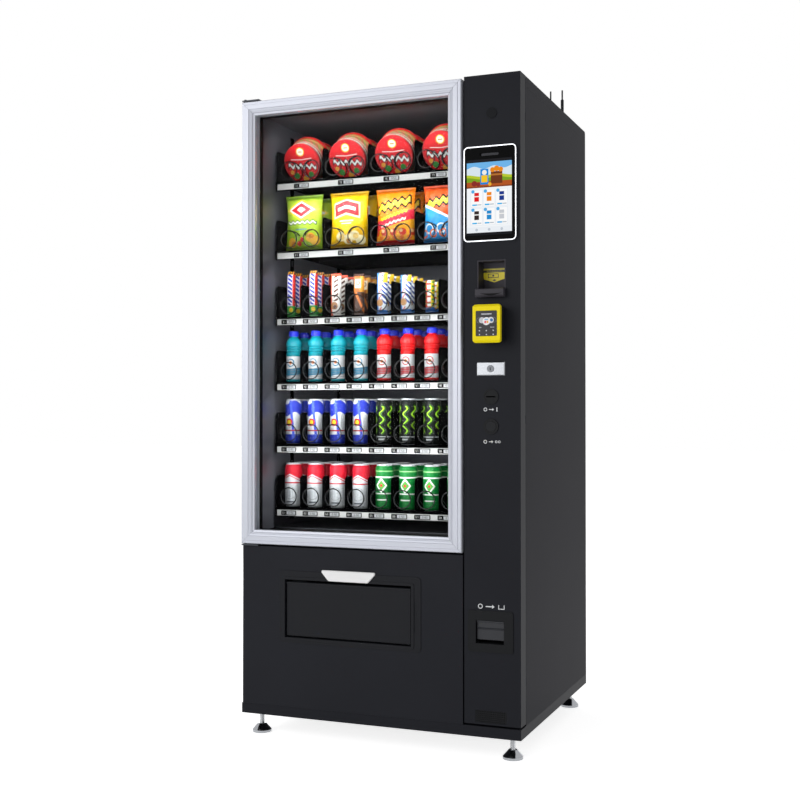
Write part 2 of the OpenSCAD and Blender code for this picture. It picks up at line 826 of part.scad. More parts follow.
module camera_disc() {
  color("#0b0b0c") {
    rod_y(disc_at[0], [-2, -0.1], disc_at[1], disc_r);
    rod_y(disc_at[0], [-eps, 12], disc_at[1], disc_r - 3.3);
  }
}

// Deep square entry with a pouting lip at its foot that takes the bill
module bill_acceptor() {
  x = grow(bill_x, -seat);
  z = grow(bill_range_z, -seat);
  lip_top = z[0] + 26;
  color("#2b2b2f") difference() {
    union() {
      along_y([0.5, bill_d + 3]) rect(x, z);
      along_y([bill_d - 10, 104]) rect(grow(x, -6), grow(z, 16));
      along_x(x) polygon([[2, z[0]], [-18, z[0]], [-22, z[0] + 5],
                          [-22, z[0] + 22], [-12, lip_top], [2, lip_top]]);
    }
    along_x(grow(x, -3)) polygon([[-eps, lip_top - 2], [-eps, z[1] - 3],
                                  [bill_d - 12, z[1] - 3], [bill_d - 2, lip_top - 2]]);
    // Slot that draws the bill in
    along_x(grow(x, -7)) polygon([[-16, lip_top + eps], [-16, lip_top - 8],
                                  [-8, lip_top - 10], [-0.5, lip_top - 10],
                                  [-0.5, lip_top + eps]]);
  }
}

module card_reader() {
  x = grow(reader_x, -3);
  z = grow(reader_range_z, -3);
  color("#1b1c1e") {
    along_x(x) polygon([[-seat, z[0] + 4], [-reader_stand + 14, z[0]],
                        [-reader_stand + 14, z[1]], [-seat, z[1] - 4]]);
  }
}

module card_reader_frame() {
  back = -reader_stand + 14 - 0.1;
  color("#f2d40f") difference() {
    intersection() {
      along_y([-reader_stand, back]) round_rect(reader_x, reader_range_z, 8);
      along_x(reader_x) polygon([[back, reader_range_z[0]], [back - 8, reader_range_z[0]],
                                 [-reader_stand, reader_range_z[0] + 6],
                                 [-reader_stand, reader_range_z[1] - 6],
                                 [back - 8, reader_range_z[1]],
                                 [back, reader_range_z[1]]]);
    }
    along_y([-reader_stand - eps, -reader_stand + 3])
      round_rect(grow(reader_x, -9), [reader_range_z[0] + 18, reader_range_z[1] - 18], 3);
  }
}

module card_reader_screen() {
  color("#0d0e10") along_y([-reader_stand + 0.8, -reader_stand + 2.9])
    round_rect(grow(reader_x, -9 - seat),
               [reader_range_z[0] + 18 + seat, reader_range_z[1] - 18 - seat], 2.7);
}

plate_w = 84;
plate_h = 39;
module lock_plate() {
  bevel = 2.5;
  t = 6;
  x = around(pay_mid, plate_w);
  z = around(lock_z, plate_h);
  color("#bfc1c4") difference() {
    intersection() {
      along_y([-t, -0.1]) rect(x, z);
      along_x(x) polygon([[0, z[0]], [-t + bevel, z[0]], [-t, z[0] + bevel],
                          [-t, z[1] - bevel], [-t + bevel, z[1]], [0, z[1]]]);
      along_z_outline([[x[0], 0], [x[0], -t + bevel], [x[0] + bevel, -t],
                       [x[1] - bevel, -t], [x[1], -t + bevel], [x[1], 0]], z);
    }
    rod_y(pay_mid, [-t - eps, eps], lock_z, lock_r + run);
  }
}

// A flat outline in x and depth, raised from z[0] to z[1]
module along_z_outline(p, z) {
  translate([0, front_y, z[0]]) linear_extrude(z[1] - z[0]) polygon(p);
}

module key_lock() {
  cam_d = [door_zone + 3, door_zone + 6];
  cam_l = pay_mid - partition_x[1] - 14;
  color("#d5d7da") {
    difference() {
      rod_y(pay_mid, [-8, 8], lock_z, lock_r);
      block(around(pay_mid, 2), [-9, -2], around(lock_z, 9));
    }
    rod_y(pay_mid, [7, cam_d[1]], lock_z, 6);
    block(around(pay_mid, 14), cam_d, [lock_z - cam_l, lock_z]);
  }
}

module panel_rings() {
  color("#17181a") {
    difference() {
      union() {
        rod_y(pay_mid, [-3, -0.1], coin_z, ring_r);
        rod_y(pay_mid, [-eps, 16], coin_z, ring_r - 4.3);
      }
      rod_y(pay_mid, [-3 - eps, -2], coin_z, ring_r - 4);
      along_y([-4, 17]) rect(around(pay_mid, 28), around(coin_z, 3.5));
    }
    difference() {
      union() {
        rod_y(pay_mid, [-3, -0.1], button_z, ring_r);
        rod_y(pay_mid, [-eps, 22], button_z, ring_r - 4.3);
      }
      rod_y(pay_mid, [-3 - eps, 18], button_z, button_r + 0.4);
      rod_y(pay_mid, [17, 23], button_z, 4 + run);
    }
  }
}

module change_button() {
  color("#2c2d30") {
    rod_y(pay_mid, [-3.5, 18 - button_travel - seat], button_z, button_r);
    rod_y(pay_mid, [1, 22 + 4], button_z, 4);
  }
}

module coin_return_bezel() {
  x = [cup_x[0] - 23, cup_x[1] + 27];
  z = [cup_range_z[0] - 24, cup_range_z[1] + 27];
  depth = 72;
  color("#1e2023") difference() {
    union() {
      along_y([-3, -0.1]) round_rect(x, z, 8);
      along_y([-eps, depth]) rect(grow(cup_x, cup_wall), grow(cup_range_z, cup_wall));
    }
    along_y([-4, depth - 2]) rect(cup_x, cup_range_z);
    rod_x(grow(cup_x, 2.6), cup_axis[0], cup_axis[1], cup_pin_r + run);
    // Coins drop in through the cup's roof
    block(around(middle(cup_x), 40), [40, 60], [cup_range_z[1] - 1, cup_range_z[1] + 5]);
  }
}

module coin_return_flap() {
  x = grow(cup_x, -2);
  z = [cup_range_z[0] + 10, cup_axis[1]];
  d = [cup_axis[0] + 1.5, cup_axis[0] + 4];
  color("#3a3b40") {
    along_x(x) {
      rect([cup_axis[0], d[1]], [z[1] - 1, z[1] + 1]);
      rect(d, [z[0], z[1] + 1]);
      rect([d[0], d[1] + 4], [z[0], z[0] + 2]);
      polygon([[d[0], z[1] - 18], [d[0] - 3, z[1] - 20], [d[0], z[1] - 24]]);
    }
    rod_x(x, cup_axis[0], cup_axis[1], 3);
    rod_x(grow(cup_x, 2.3), cup_axis[0], cup_axis[1], cup_pin_r);
  }
}

// Coin mechanism on the door's back, with its return tube down to the cup
module coin_changer() {
  x = around(pay_mid - 4, 96);
  z = [cup_range_z[1] + 164, button_z - 42];
  tube_x = around(middle(cup_x), 36);
  tube_depth = [42, 58];
  color("#4a4d52") {
    block(x, [panel_skin + seat, 112], z);
    difference() {
      block(grow(tube_x, sheet), grow(tube_depth, sheet),
            [cup_range_z[1] + cup_wall + seat, z[0] - seat]);
      block(tube_x, tube_depth, [cup_range_z[1], z[0] + eps]);
    }
  }
}

module speaker_grille() {
  x = grow(grille_x, -seat);
  z = grow(grille_z, -seat);
  step = 5.4;
  hole_r = 1.3;
  cols = floor((x[1] - x[0] - 6) / step);
  rows = floor((z[1] - z[0] - 6) / step);
  color("#1d1e20") along_y([0.2, 2.8]) difference() {
    rect(x, z);
    for (i = [0 : cols], j = [0 : rows])
      translate([middle(x) + (i - cols / 2) * step, middle(z) + (j - rows / 2) * step])
        circle(hole_r, $fn = 16);
  }
}

// Power supply above and control box below it, on the partition
module power_box() {
  supply_z = around(body_h - 615, 350);
  control_h = 280;
  between = 170;
  control_top = supply_z[0] - between;
  color("#5a5e63") {
    block([pay_x[0] + seat, pay_x[0] + 110], [260, 520], supply_z);
    block([pay_x[0] + seat, pay_x[0] + 90], [300, 500],
          [control_top - control_h, control_top]);
  }
}

left_side_panel();
right_side_panel();
roof_panel();
back_panel();
partition_wall();
cabinet_deck();
base_plinth();
foot_stems();
foot_pads();
lower_front_panel();
delivery_bezel();
delivery_bin();
delivery_flap();
cooling_unit();
inner_liner();
tray_supports();
led_strips();
door_hinges();
antennas();
power_box();
door_frame();
door_glass();
door_gasket();
control_door();
screen_bezel();
screen_panel();
touch_display();
camera_disc();
bill_acceptor();
card_reader();
card_reader_frame();
card_reader_screen();
lock_plate();
key_lock();
panel_rings();
change_button();
coin_return_bezel();
coin_return_flap();
coin_changer();
speaker_grille();
tray(1);  // tray_1
tray(2);  // tray_2
tray(3);  // tray_3
tray(4);  // tray_4
tray(5);  // tray_5
tray(6);  // tray_6
spirals(1);  // spirals_1
spirals(2);  // spirals_2
spirals(3);  // spirals_3
spirals(4);  // spirals_4
spirals(5);  // spirals_5
spirals(6);  // spirals_6
spiral(1, 0);  // live_spiral_1
spiral(1, 1);  // live_spiral_1b
spiral(2, 0);  // live_spiral_2
spiral(2, 1);  // live_spiral_2b
spiral(3, 0);  // live_spiral_3
spiral(4, 0);  // live_spiral_4
spiral(5, 0);  // live_spiral_5
spiral(6, 0);  // live_spiral_6
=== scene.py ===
import json
from math import cos, exp, pi, radians, sin

import bpy
from mathutils import Matrix, Vector, noise
from mathutils.bvhtree import BVHTree

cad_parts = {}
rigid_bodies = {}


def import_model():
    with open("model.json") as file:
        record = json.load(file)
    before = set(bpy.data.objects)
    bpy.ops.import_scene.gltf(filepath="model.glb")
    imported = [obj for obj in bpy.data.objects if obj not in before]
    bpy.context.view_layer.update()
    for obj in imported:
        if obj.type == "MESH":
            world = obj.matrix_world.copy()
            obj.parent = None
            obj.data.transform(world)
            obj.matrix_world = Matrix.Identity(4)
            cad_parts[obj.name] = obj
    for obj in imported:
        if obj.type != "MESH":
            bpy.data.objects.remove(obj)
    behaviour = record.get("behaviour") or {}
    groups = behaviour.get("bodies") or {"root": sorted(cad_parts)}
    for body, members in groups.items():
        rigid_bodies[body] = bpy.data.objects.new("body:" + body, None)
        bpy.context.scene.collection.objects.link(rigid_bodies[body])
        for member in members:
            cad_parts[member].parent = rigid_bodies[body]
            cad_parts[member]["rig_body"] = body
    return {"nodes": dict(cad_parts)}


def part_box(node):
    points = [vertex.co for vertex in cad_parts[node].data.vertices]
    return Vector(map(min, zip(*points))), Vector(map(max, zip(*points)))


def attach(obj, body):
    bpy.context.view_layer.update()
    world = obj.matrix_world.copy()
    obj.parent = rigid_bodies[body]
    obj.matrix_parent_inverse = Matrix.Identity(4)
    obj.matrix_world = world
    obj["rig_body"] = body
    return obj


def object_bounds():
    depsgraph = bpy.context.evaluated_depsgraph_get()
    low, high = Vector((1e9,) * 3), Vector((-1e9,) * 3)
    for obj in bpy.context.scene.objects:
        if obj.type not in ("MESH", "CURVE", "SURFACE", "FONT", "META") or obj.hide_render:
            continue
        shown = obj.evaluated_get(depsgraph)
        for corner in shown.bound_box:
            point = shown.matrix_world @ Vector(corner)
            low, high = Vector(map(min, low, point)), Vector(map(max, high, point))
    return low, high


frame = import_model()
cad_low, cad_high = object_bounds()

MM = 0.001
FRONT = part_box("lower_front_panel")[0].y
TRAYS = 6
LANES = 8


# -------- camera and image points

W = 800
H = 800
POINTS = {
    "object_left": (241.3, None),
    "object_right": (586.2, None),
    "object_top": (None, 70.0),
    "object_bottom": (None, 763.0),
    "pillar_top_right": (520.6, 70.3),
    "back_top_right": (585.6, 132.0),
    "back_bottom_right": (585.8, 682.5),
    "plinth_front_right": (520.8, 741.0),
    "plinth_front_left": (241.5, 712.8),
    "glass_door_top_left": (243.4, 103.5),
    "camera_disc": (492.0, 113.3),
    "lock_cylinder": (491.3, 369.2),
    "coin_ring": (491.7, 396.3),
    "change_button": (491.3, 426.2),
    "pull_plate": (348.3, 576.8),
    "bill_label": (494.3, 275.3),
    "ear_slot": (490.5, 154.3),
    "lip_slot_shade": (490.8, 293.5),
    "antenna_tip": (551.2, 92.0),
    "coin_mark": (491.5, 409.5),
    "change_mark": (491.8, 441.8),
    "return_mark": (491.2, 606.8),
}


SENSOR = 36.0
LENS = 54.138
CAMERA_AT = (1.3824, FRONT - 3.2447, 0.9738)
CAMERA_TILT = 90.727
CAMERA_TURN = 21.89


def placed(name, data):
    """A new object with some data, in the scene."""
    made = bpy.data.objects.new(name, data)
    bpy.context.scene.collection.objects.link(made)
    return made


def make_camera():
    """The photo's camera, where the fit to the image points put it."""
    data = bpy.data.cameras.new("camera")
    data.sensor_width = SENSOR
    data.lens = LENS
    data.clip_end = 50.0
    made = placed("camera", data)
    made.location = CAMERA_AT
    made.rotation_euler = (radians(CAMERA_TILT), 0.0, radians(CAMERA_TURN))
    bpy.context.scene.camera = made
    bpy.context.view_layer.update()
    return made


camera = make_camera()
DEPTH = max(W, H) * LENS / SENSOR


def ray_through(point):
    """The camera's place, and the direction that an image point looks along."""
    x, y = point
    turn = camera.matrix_world.to_3x3()
    return camera.matrix_world.translation, (turn @ Vector((x - W / 2, H / 2 - y, -DEPTH))).normalized()


def on_surface(point, *carriers):
    """Where the ray through an image point meets the carriers, or the vertex nearest that ray."""
    start, along = ray_through(point)
    hits = []
    corners = []
    for carrier in carriers:
        mesh = carrier.data
        corners += [v.co.copy() for v in mesh.vertices]
        tree = BVHTree.FromPolygons([v.co for v in mesh.vertices], [p.vertices for p in mesh.polygons])
        place, _, _, distance = tree.ray_cast(start, along)
        if place is not None:
            hits.append((distance, place))
    if hits:
        return min(hits, key=lambda hit: hit[0])[1]
    return min(corners, key=lambda c: (c - start).cross(along).length)


# -------- shader nodes and patterns


def linear(code):
    """An sRGB code such as ff8800 as a linear colour."""
    channels = [int(code[i:i + 2], 16) / 255 for i in (0, 2, 4)]
    return tuple(c / 12.92 if c <= 0.04045 else ((c + 0.055) / 1.055) ** 2.4 for c in channels) + (1.0,)


def fill(slot, value):
    """Fills one input of a shader node: a Term or a socket is linked to it, all else is its value."""
    if isinstance(value, Term):
        value = value.socket
    if isinstance(value, bpy.types.NodeSocket):
        slot.id_data.links.new(value, slot)
    else:
        slot.default_value = value


def put(node, values):
    """Fills the inputs of a shader node that the values name."""
    for name, value in values.items():
        fill(node.inputs[name], value)


def new_node(tree, kind, values):
    """A new shader node of a kind, with the inputs that the values name filled."""
    made = tree.nodes.new("ShaderNode" + kind)
    put(made, values)
    return made


def operator(kind):
    """A method of Term that makes one math node of a kind."""
    return lambda term, *others: term.op(kind, *others)


class Term:
    """A number made by shader nodes, so that a pattern reads as plain arithmetic."""

    def __init__(self, tree, socket):
        self.tree = tree
        self.socket = socket

    def op(self, kind, *others):
        """What a math node of a kind makes of this number and others."""
        node = self.tree.nodes.new("ShaderNodeMath")
        node.operation = kind
        for slot, value in zip(node.inputs, (self, *others)):
            fill(slot, value)
        return Term(self.tree, node.outputs[0])

    __add__ = operator("ADD")
    __sub__ = operator("SUBTRACT")
    __mul__ = operator("MULTIPLY")
    __gt__ = operator("GREATER_THAN")
    __lt__ = operator("LESS_THAN")
    __and__ = operator("MULTIPLY")
    __or__ = operator("MAXIMUM")
    __abs__ = operator("ABSOLUTE")

    def repeat(self, period):
        """The number within one period, from minus half to half of it."""
        return (self + period / 2).op("FLOORED_MODULO", period) - period / 2

    def wave(self, length, height):
        return (self * (2 * pi / length)).op("SINE") * height

    def between(self, low, high):
        return (self > low) & (self < high)


def ring(u, v, centre, outer, inner):
    du = u - centre[0]
    dv = v - centre[1]
    return (du * du + dv * dv).between(inner * inner, outer * outer)


def disc(u, v, centre, radius):
    du = u - centre[0]
    dv = v - centre[1]
    return (du * du + dv * dv) < radius * radius


def discs(u, v, centres, radius):
    """The discs of one radius round several centres."""
    mask = disc(u, v, centres[0], radius)
    for centre in centres[1:]:
        mask = mask | disc(u, v, centre, radius)
    return mask


def patch(u, v, centre, width, height):
    return (abs(u - centre[0]) < width / 2) & (abs(v - centre[1]) < height / 2)


def within(area, layers):
    """The same (mask, colour) layers, kept within one area."""
    return [(area & mask, colour) for mask, colour in layers]


def blend(tree, factor, low, high):
    """A colour socket that goes with a Term from one colour, or colour socket, to another."""
    mix = tree.nodes.new("ShaderNodeMix")
    mix.data_type = "RGBA"
    put(mix, {"Factor": factor})
    for slot, colour in zip([s for s in mix.inputs if s.type == "RGBA"], (low, high)):
        fill(slot, colour)
    return [s for s in mix.outputs if s.type == "RGBA"][0]


def painted(tree, base, layers):
    """A colour socket: the base colour with each (mask, colour) layer laid over it in turn."""
    result = linear(base)
    for mask, colour in layers:
        result = blend(tree, mask, result, linear(colour))
    return result


# -------- materials

GRAIN_DEPTH = 0.4 * MM


def blank(name):
    """A material with one Principled shader, its node tree and that shader."""
    material = bpy.data.materials.new(name)
    material.use_nodes = True
    tree = material.node_tree
    return material, tree, tree.nodes["Principled BSDF"]


def own_point(tree):
    """A socket with the piece's own coordinates."""
    return tree.nodes.new("ShaderNodeTexCoord").outputs["Object"]


def axes(tree, vector):
    """The three numbers of a vector socket."""
    split = new_node(tree, "SeparateXYZ", {"Vector": vector})
    return [Term(tree, split.outputs[axis]) for axis in "XYZ"]


def noise_term(tree, scale, stretch=(1, 1, 1), detail=3.0):
    """Noise from 0 to 1 over the piece's own coordinates, with features about 1/scale metres wide."""
    fit = new_node(tree, "Mapping", {"Scale": stretch, "Vector": own_point(tree)})
    made = new_node(tree, "TexNoise", {"Scale": scale, "Detail": detail, "Vector": fit.outputs["Vector"]})
    return Term(tree, made.outputs["Fac"])


def bumped(tree, shader, height, strength, depth=GRAIN_DEPTH, edge=0.0):
    """Bump from a height, over edges rounded by the bevel radius edge, in metres."""
    bump = new_node(tree, "Bump", {"Strength": strength, "Distance": depth, "Height": height})
    if edge:
        bevel = new_node(tree, "Bevel", {"Radius": edge})
        bevel.samples = 4
        put(bump, {"Normal": bevel.outputs["Normal"]})
    put(shader, {"Normal": bump.outputs["Normal"]})


def rough_and_bumped(tree, shader, rough, grain, strength, stretch=(1, 1, 1), edge=0.0, spread=0.12):
    """Gloss and bump from one fine grain."""
    fine = noise_term(tree, grain, stretch)
    put(shader, {"Roughness": (fine - 0.5) * spread + rough})
    bumped(tree, shader, fine, strength, edge=edge)


def drifting(tree, colour, amount, scale, stretch=(1, 1, 1)):
    """A colour socket that drifts slowly lighter and darker round one colour."""
    slow = noise_term(tree, scale, stretch, detail=2.0)
    shares = (1 - amount, 1 + amount)
    low, high = [tuple(min(1.0, c * share) for c in linear(colour)[:3]) + (1.0,) for share in shares]
    return blend(tree, slow, low, high)


def surface(name, colour, rough, grain, strength, metal=0.0, specular=0.5, drift=0.12, stretch=(1, 1, 1),
            edge=0.0, spread=0.12):
    """Paint, plastic, rubber or metal with its own grain, drift of colour and soft edges."""
    material, tree, shader = blank(name)
    put(shader, {
        "Base Color": drifting(tree, colour, drift, 5.0, stretch),
        "Metallic": metal,
        "Specular IOR Level": specular,
    })
    rough_and_bumped(tree, shader, rough, grain, strength, stretch, edge, spread)
    return material


def threaded_steel():
    """Bright zinc steel whose shank shows the rings of its thread."""
    thread_top = 60 * MM
    thread_pitch = 1.8 * MM
    material, tree, shader = blank("foot_steel")
    height = axes(tree, own_point(tree))[2]
    thread = height.wave(thread_pitch, 1) & (height < thread_top)
    grain = noise_term(tree, 900.0)
    bumped(tree, shader, thread + grain * 0.15, 0.5, depth=0.5 * MM)
    put(shader, {
        "Base Color": drifting(tree, "c9cbce", 0.1, 60.0),
        "Roughness": grain * 0.15 + 0.2,
        "Metallic": 1.0,
    })
    return material


def window_glass():
    """Clear glass that lets the lamps in: a clean pane with a Fresnel reflection on it."""
    weak_mirror = 1.07
    material, tree, _ = blank("window_glass")
    tree.nodes.clear()
    clear = new_node(tree, "BsdfTransparent", {"Color": (0.93, 0.94, 0.94, 1.0)})
    gloss = new_node(tree, "BsdfGlossy", {"Roughness": noise_term(tree, 12.0) * 0.03 + 0.01})
    fresnel = new_node(tree, "Fresnel", {"IOR": weak_mirror})
    mix = new_node(tree, "MixShader", {"Fac": fresnel.outputs["Fac"]})
    fill(mix.inputs[1], clear.outputs["BSDF"])
    fill(mix.inputs[2], gloss.outputs["BSDF"])
    new_node(tree, "OutputMaterial", {"Surface": mix.outputs["Shader"]})
    return material


def lamp_cover():
    """The milky cover of a lamp strip, lit from within, with a slight drift of colour."""
    material, tree, shader = blank("led_cover")
    put(shader, {
        "Base Color": drifting(tree, "f4f6f8", 0.05, 40.0),
        "Emission Color": drifting(tree, "f2f6ff", 0.05, 30.0),
        "Emission Strength": 1.6,
        "Roughness": 0.4,
    })
    return material


def frame_uv(tree, centre):
    """Millimetres across and up from a centre on the front of a CAD node."""
    x, _, z = axes(tree, own_point(tree))
    return x * (1 / MM) - centre.x / MM, z * (1 / MM) - centre.z / MM


def art_uv(tree):
    """A made piece's own millimetres across and up, and the number of the part of it that it is on."""
    own = tree.nodes.new("ShaderNodeAttribute")
    own.attribute_name = "art"
    return axes(tree, own.outputs["Vector"])


def middle_of(node):
    """The middle of a CAD node's box."""
    low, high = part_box(node)
    return (low + high) / 2


def start_screen():
    """A shop screen of our own: a garden table under a dark status bar, six plain product tiles below."""
    material, tree, shader = blank("display_glass")
    u, v = frame_uv(tree, middle_of("touch_display"))
    hills = v - u.wave(90, 3)
    picture = v > 27
    layers = [
        (picture, "6fb6ec"),
        (picture & ((v - u.wave(60, 4)) < 84), "dbe9f2"),
        (picture & (hills < 62), "b9cc2c"),
        (picture & (hills < 54), "7aa51c"),
        (v.between(27, 44), "b4541c"),
        (v.between(27, 31), "8a3f14"),
        (patch(u, v, (-14, 58), 24, 44), "0a86dc"),
        (patch(u, v, (-14, 52), 18, 20), "fac81c"),
        (disc(u, v, (-14, 70), 7), "f6f3ea"),
        (patch(u, v, (22, 54), 34, 34), "6e3412"),
        (patch(u, v, (22, 62), 34, 5), "b8702a"),
        (discs(u, v, [(10, 76), (34, 76)], 7) | disc(u, v, (22, 79), 8), "ec8a10"),
        (disc(u, v, (-44, 40), 8) | disc(u, v, (-32, 37), 6), "8a2a20"),
        (disc(u, v, (2, 36), 5), "f0b02c"),
        (v > 99, "1a1a1c"),
        (v < 27, "f6f9fc"),
    ]
    goods = ["e01414", "f58a08", "14348c", "30241e", "1c8cd0", "c9ccd2"]
    for number, colour in enumerate(goods):
        x = -37 + 37 * (number % 3)
        y = -3 - 52 * (number // 3)
        layers += [
            (patch(u, v, (x, y), 35, 49), "dfe9f3"),
            (patch(u, v, (x, y), 33, 47), "ffffff"),
            (disc(u, v, (x - 11, y + 20), 5), "55aee6"),
            (patch(u, v, (x, y + 4), 14, 25), colour),
            (patch(u, v, (x, y + 6), 14, 3), "f6f6f2"),
            (patch(u, v, (x - 6, y - 18), 14, 4), "2fb0ea"),
            (patch(u, v, (x + 8, y - 18), 12, 3), "b9c2cb"),
        ]
    layers += [
        (v < -84, "eef3f8"),
        ((v < -84) & (disc(u.repeat(37), v, (0, -92), 4)), "c3ccd6"),
        (v < -100, "101114"),
    ]
    put(shader, {
        "Emission Color": painted(tree, "f4f8fc", layers),
        "Emission Strength": 0.95,
        "Base Color": (0.01, 0.01, 0.012, 1.0),
        "Specular IOR Level": 0.0,
        "Roughness": noise_term(tree, 30.0) * 0.06 + 0.05,
    })
    return material


def reader_screen():
    """The card reader's screen: a plain card disc between two rings, over rows of key dots."""
    material, tree, shader = blank("reader_screen")
    u, v = frame_uv(tree, middle_of("card_reader_screen"))
    layers = [
        (patch(u, v, (0, 26), 30, 3.5), "b4b6bb"),
        (ring(u, v, (-21, 9), 8, 6.8) | ring(u, v, (21, 9), 8, 6.8), "6a6c72"),
        (disc(u, v, (-13, 9), 8.5), "c9cace"),
        (disc(u, v, (13, 9), 8.5), "e2e4e8"),
        (disc(u, v, (15, 9), 4.5), "2c6aa4"),
        (disc(u, v, (0, 6), 11), "f4f4f6"),
        (patch(u, v, (0, 11), 11, 3), "7ab4de"),
        (patch(u, v, (-3, 4), 5, 7), "e0445a"),
        (patch(u, v, (3, 4), 5, 7), "f0a83a"),
        (patch(u, v, (-18, -11), 7, 3) | patch(u, v, (17, -11), 12, 2.5), "a4a6aa"),
        (discs(u.repeat(20), v, [(0, -20), (0, -31)], 2), "c2c4c8"),
    ]
    put(shader, {
        "Base Color": painted(tree, "0c0c12", layers),
        "Specular IOR Level": 0.2,
        "Roughness": noise_term(tree, 60.0) * 0.08 + 0.08,
    })
    return material


def slot_name(material):
    """The name of a material slot, without the number that Blender may add to it."""
    return material.name.split(".")[0]


# Each surface has its slot name, colour, roughness, grain and strength of bump
FINISHES = {slot_name(made): made for made in [
    surface("wall_paint", "232329", 0.45, 1400.0, 0.12, specular=0.02, edge=0.0012),
    surface("front_paint", "1e1f24", 0.48, 1200.0, 0.10, specular=0.08, edge=0.0014),
    threaded_steel(),
    surface("foot_rubber", "a3a5a9", 0.14, 300.0, 0.02, metal=1.0, edge=0.0006, spread=0.05),
    surface("black_plastic", "18191d", 0.42, 1800.0, 0.15, specular=0.12, edge=0.0012),
    surface("bin_sheet", "2a2b2d", 0.5, 900.0, 0.1, metal=0.2),
    surface("unit_metal", "7d8084", 0.4, 300.0, 0.1, metal=0.8, stretch=(1, 1, 8)),
    surface("liner_sheet", "6c6d75", 0.34, 240.0, 0.05, metal=0.45, stretch=(8, 1, 1)),
    surface("tray_black", "050506", 0.5, 1000.0, 0.12, specular=0.0),
    lamp_cover(),
    surface("hinge_steel", "3a3c40", 0.35, 700.0, 0.12, metal=0.8, edge=0.0005),
    surface("frame_aluminium", "c2c5cf", 0.36, 350.0, 0.05, metal=0.3, specular=0.35,
            drift=0.03, edge=0.0006, stretch=(1, 1, 0.2)),
    window_glass(),
    surface("seal_rubber", "0c0c0d", 0.6, 700.0, 0.15, specular=0.1),
    surface("bezel_chrome", "bfc1c6", 0.16, 500.0, 0.02, metal=0.9, drift=0.03, spread=0.04),
    surface("screen_black", "060607", 0.25, 300.0, 0.02, specular=0.02, spread=0.05),
    start_screen(),
    surface("bill_plastic", "37353b", 0.5, 1300.0, 0.18, specular=0.2, edge=0.0008),
    surface("reader_yellow", "fce400", 0.38, 900.0, 0.1, drift=0.05, specular=0.15, edge=0.001),
    surface("lock_steel", "8d8f93", 0.24, 260.0, 0.08, metal=0.95, stretch=(1, 1, 14),
            drift=0.06, edge=0.0006),
    surface("coin_black", "17181a", 0.42, 1500.0, 0.12, specular=0.1, edge=0.0006),
    surface("flap_grey", "333438", 0.36, 800.0, 0.08, drift=0.2, specular=0.2, edge=0.0006),
    surface("module_grey", "46494d", 0.5, 900.0, 0.12, edge=0.0006),
    surface("coil_wire", "101114", 0.25, 600.0, 0.05, specular=0.7),
]}
# CAD nodes that look unlike the rest of their slot
OWN_FINISHES = {
    "card_reader_screen": reader_screen(),
    "camera_disc": surface("lens_cover", "191a1d", 0.35, 600.0, 0.05, specular=0.05),
    "change_button": surface("change_key", "1c1d20", 0.35, 600.0, 0.05, specular=0.1, edge=0.0006),
    # Painted shade: the lock cylinder is darker than its plate, standing in for the dark ring of shade round
    # it
    "key_lock": surface("lock_core_shaded", "5d5f63", 0.3, 260.0, 0.08, metal=0.9, edge=0.0006),
    # Painted light: the lower front panel has the front paint made a little lighter, for the brighter light
    # that falls on the low front
    "lower_front_panel": surface("lower_paint_lit", "212227", 0.48, 1200.0, 0.10, specular=0.08, edge=0.0014),
}


def dress_nodes():
    """Gives every CAD node the finish of its material slot, or its own."""
    for name, node in frame["nodes"].items():
        for slot in node.material_slots:
            slot.material = FINISHES[slot_name(slot.material)]
    for name, material in OWN_FINISHES.items():
        for slot in frame["nodes"][name].material_slots:
            slot.material = material


# -------- building pieces


class Shape:
    """Vertices, faces and art coordinates of a form, in millimetres, with z up and its front to -y."""

    def __init__(self):
        self.points = []
        self.faces = []
        self.art = []
        self.inks = []

    def face(self, corners, art, ink=0):
        self.faces.append(corners)
        self.art.append(art)
        self.inks.append(ink)

    def add(self, other, move=(0, 0, 0), turn=None, ink=None):
        """Adds a copy of another shape, turned by a matrix, then moved. Ink is the number of a material."""
        first = len(self.points)
        shift = Vector(move)
        for point in other.points:
            place = turn @ Vector(point) if turn else Vector(point)
            self.points.append(place + shift)
        for corners, art, own in zip(other.faces, other.art, other.inks):
            self.face([first + c for c in corners], art, own if ink is None else ink)
        return self


def lathe(profile, segments=36):
    """Turns a profile of (radius, height, part) about z. Its art runs round from the front, and up."""
    made = Shape()
    widest = max(r for r, _, _ in profile)
    for r, z, _ in profile:
        for step in range(segments):
            angle = 2 * pi * (step + 0.5) / segments
            made.points.append(Vector((-r * sin(angle), r * cos(angle), z)))
    for level in range(len(profile) - 1):
        bottom = profile[level][1]
        _, top, part = profile[level + 1]
        row = level * segments
        above = row + segments
        for step in range(segments):
            after = (step + 1) % segments
            across = (step + 0.5 - segments / 2, step + 1.5 - segments / 2)
            u0, u1 = [2 * pi * widest * a / segments for a in across]
            corners = [row + step, row + after, above + after, above + step]
            made.face(corners, [(u0, bottom, part), (u1, bottom, part), (u1, top, part), (u0, top, part)])
    for level, flip in ((0, True), (len(profile) - 1, False)):
        ring_of = [level * segments + step for step in range(segments)]
        art = [(made.points[i].x, made.points[i].y, profile[level][2]) for i in ring_of]
        made.face(ring_of[::-1] if flip else ring_of, art[::-1] if flip else art)
    return made


def flat_art(shape, corners, part):
    """Art straight on to a front: millimetres across and up, and the part."""
    return [(shape.points[c].x, shape.points[c].z, part) for c in corners]


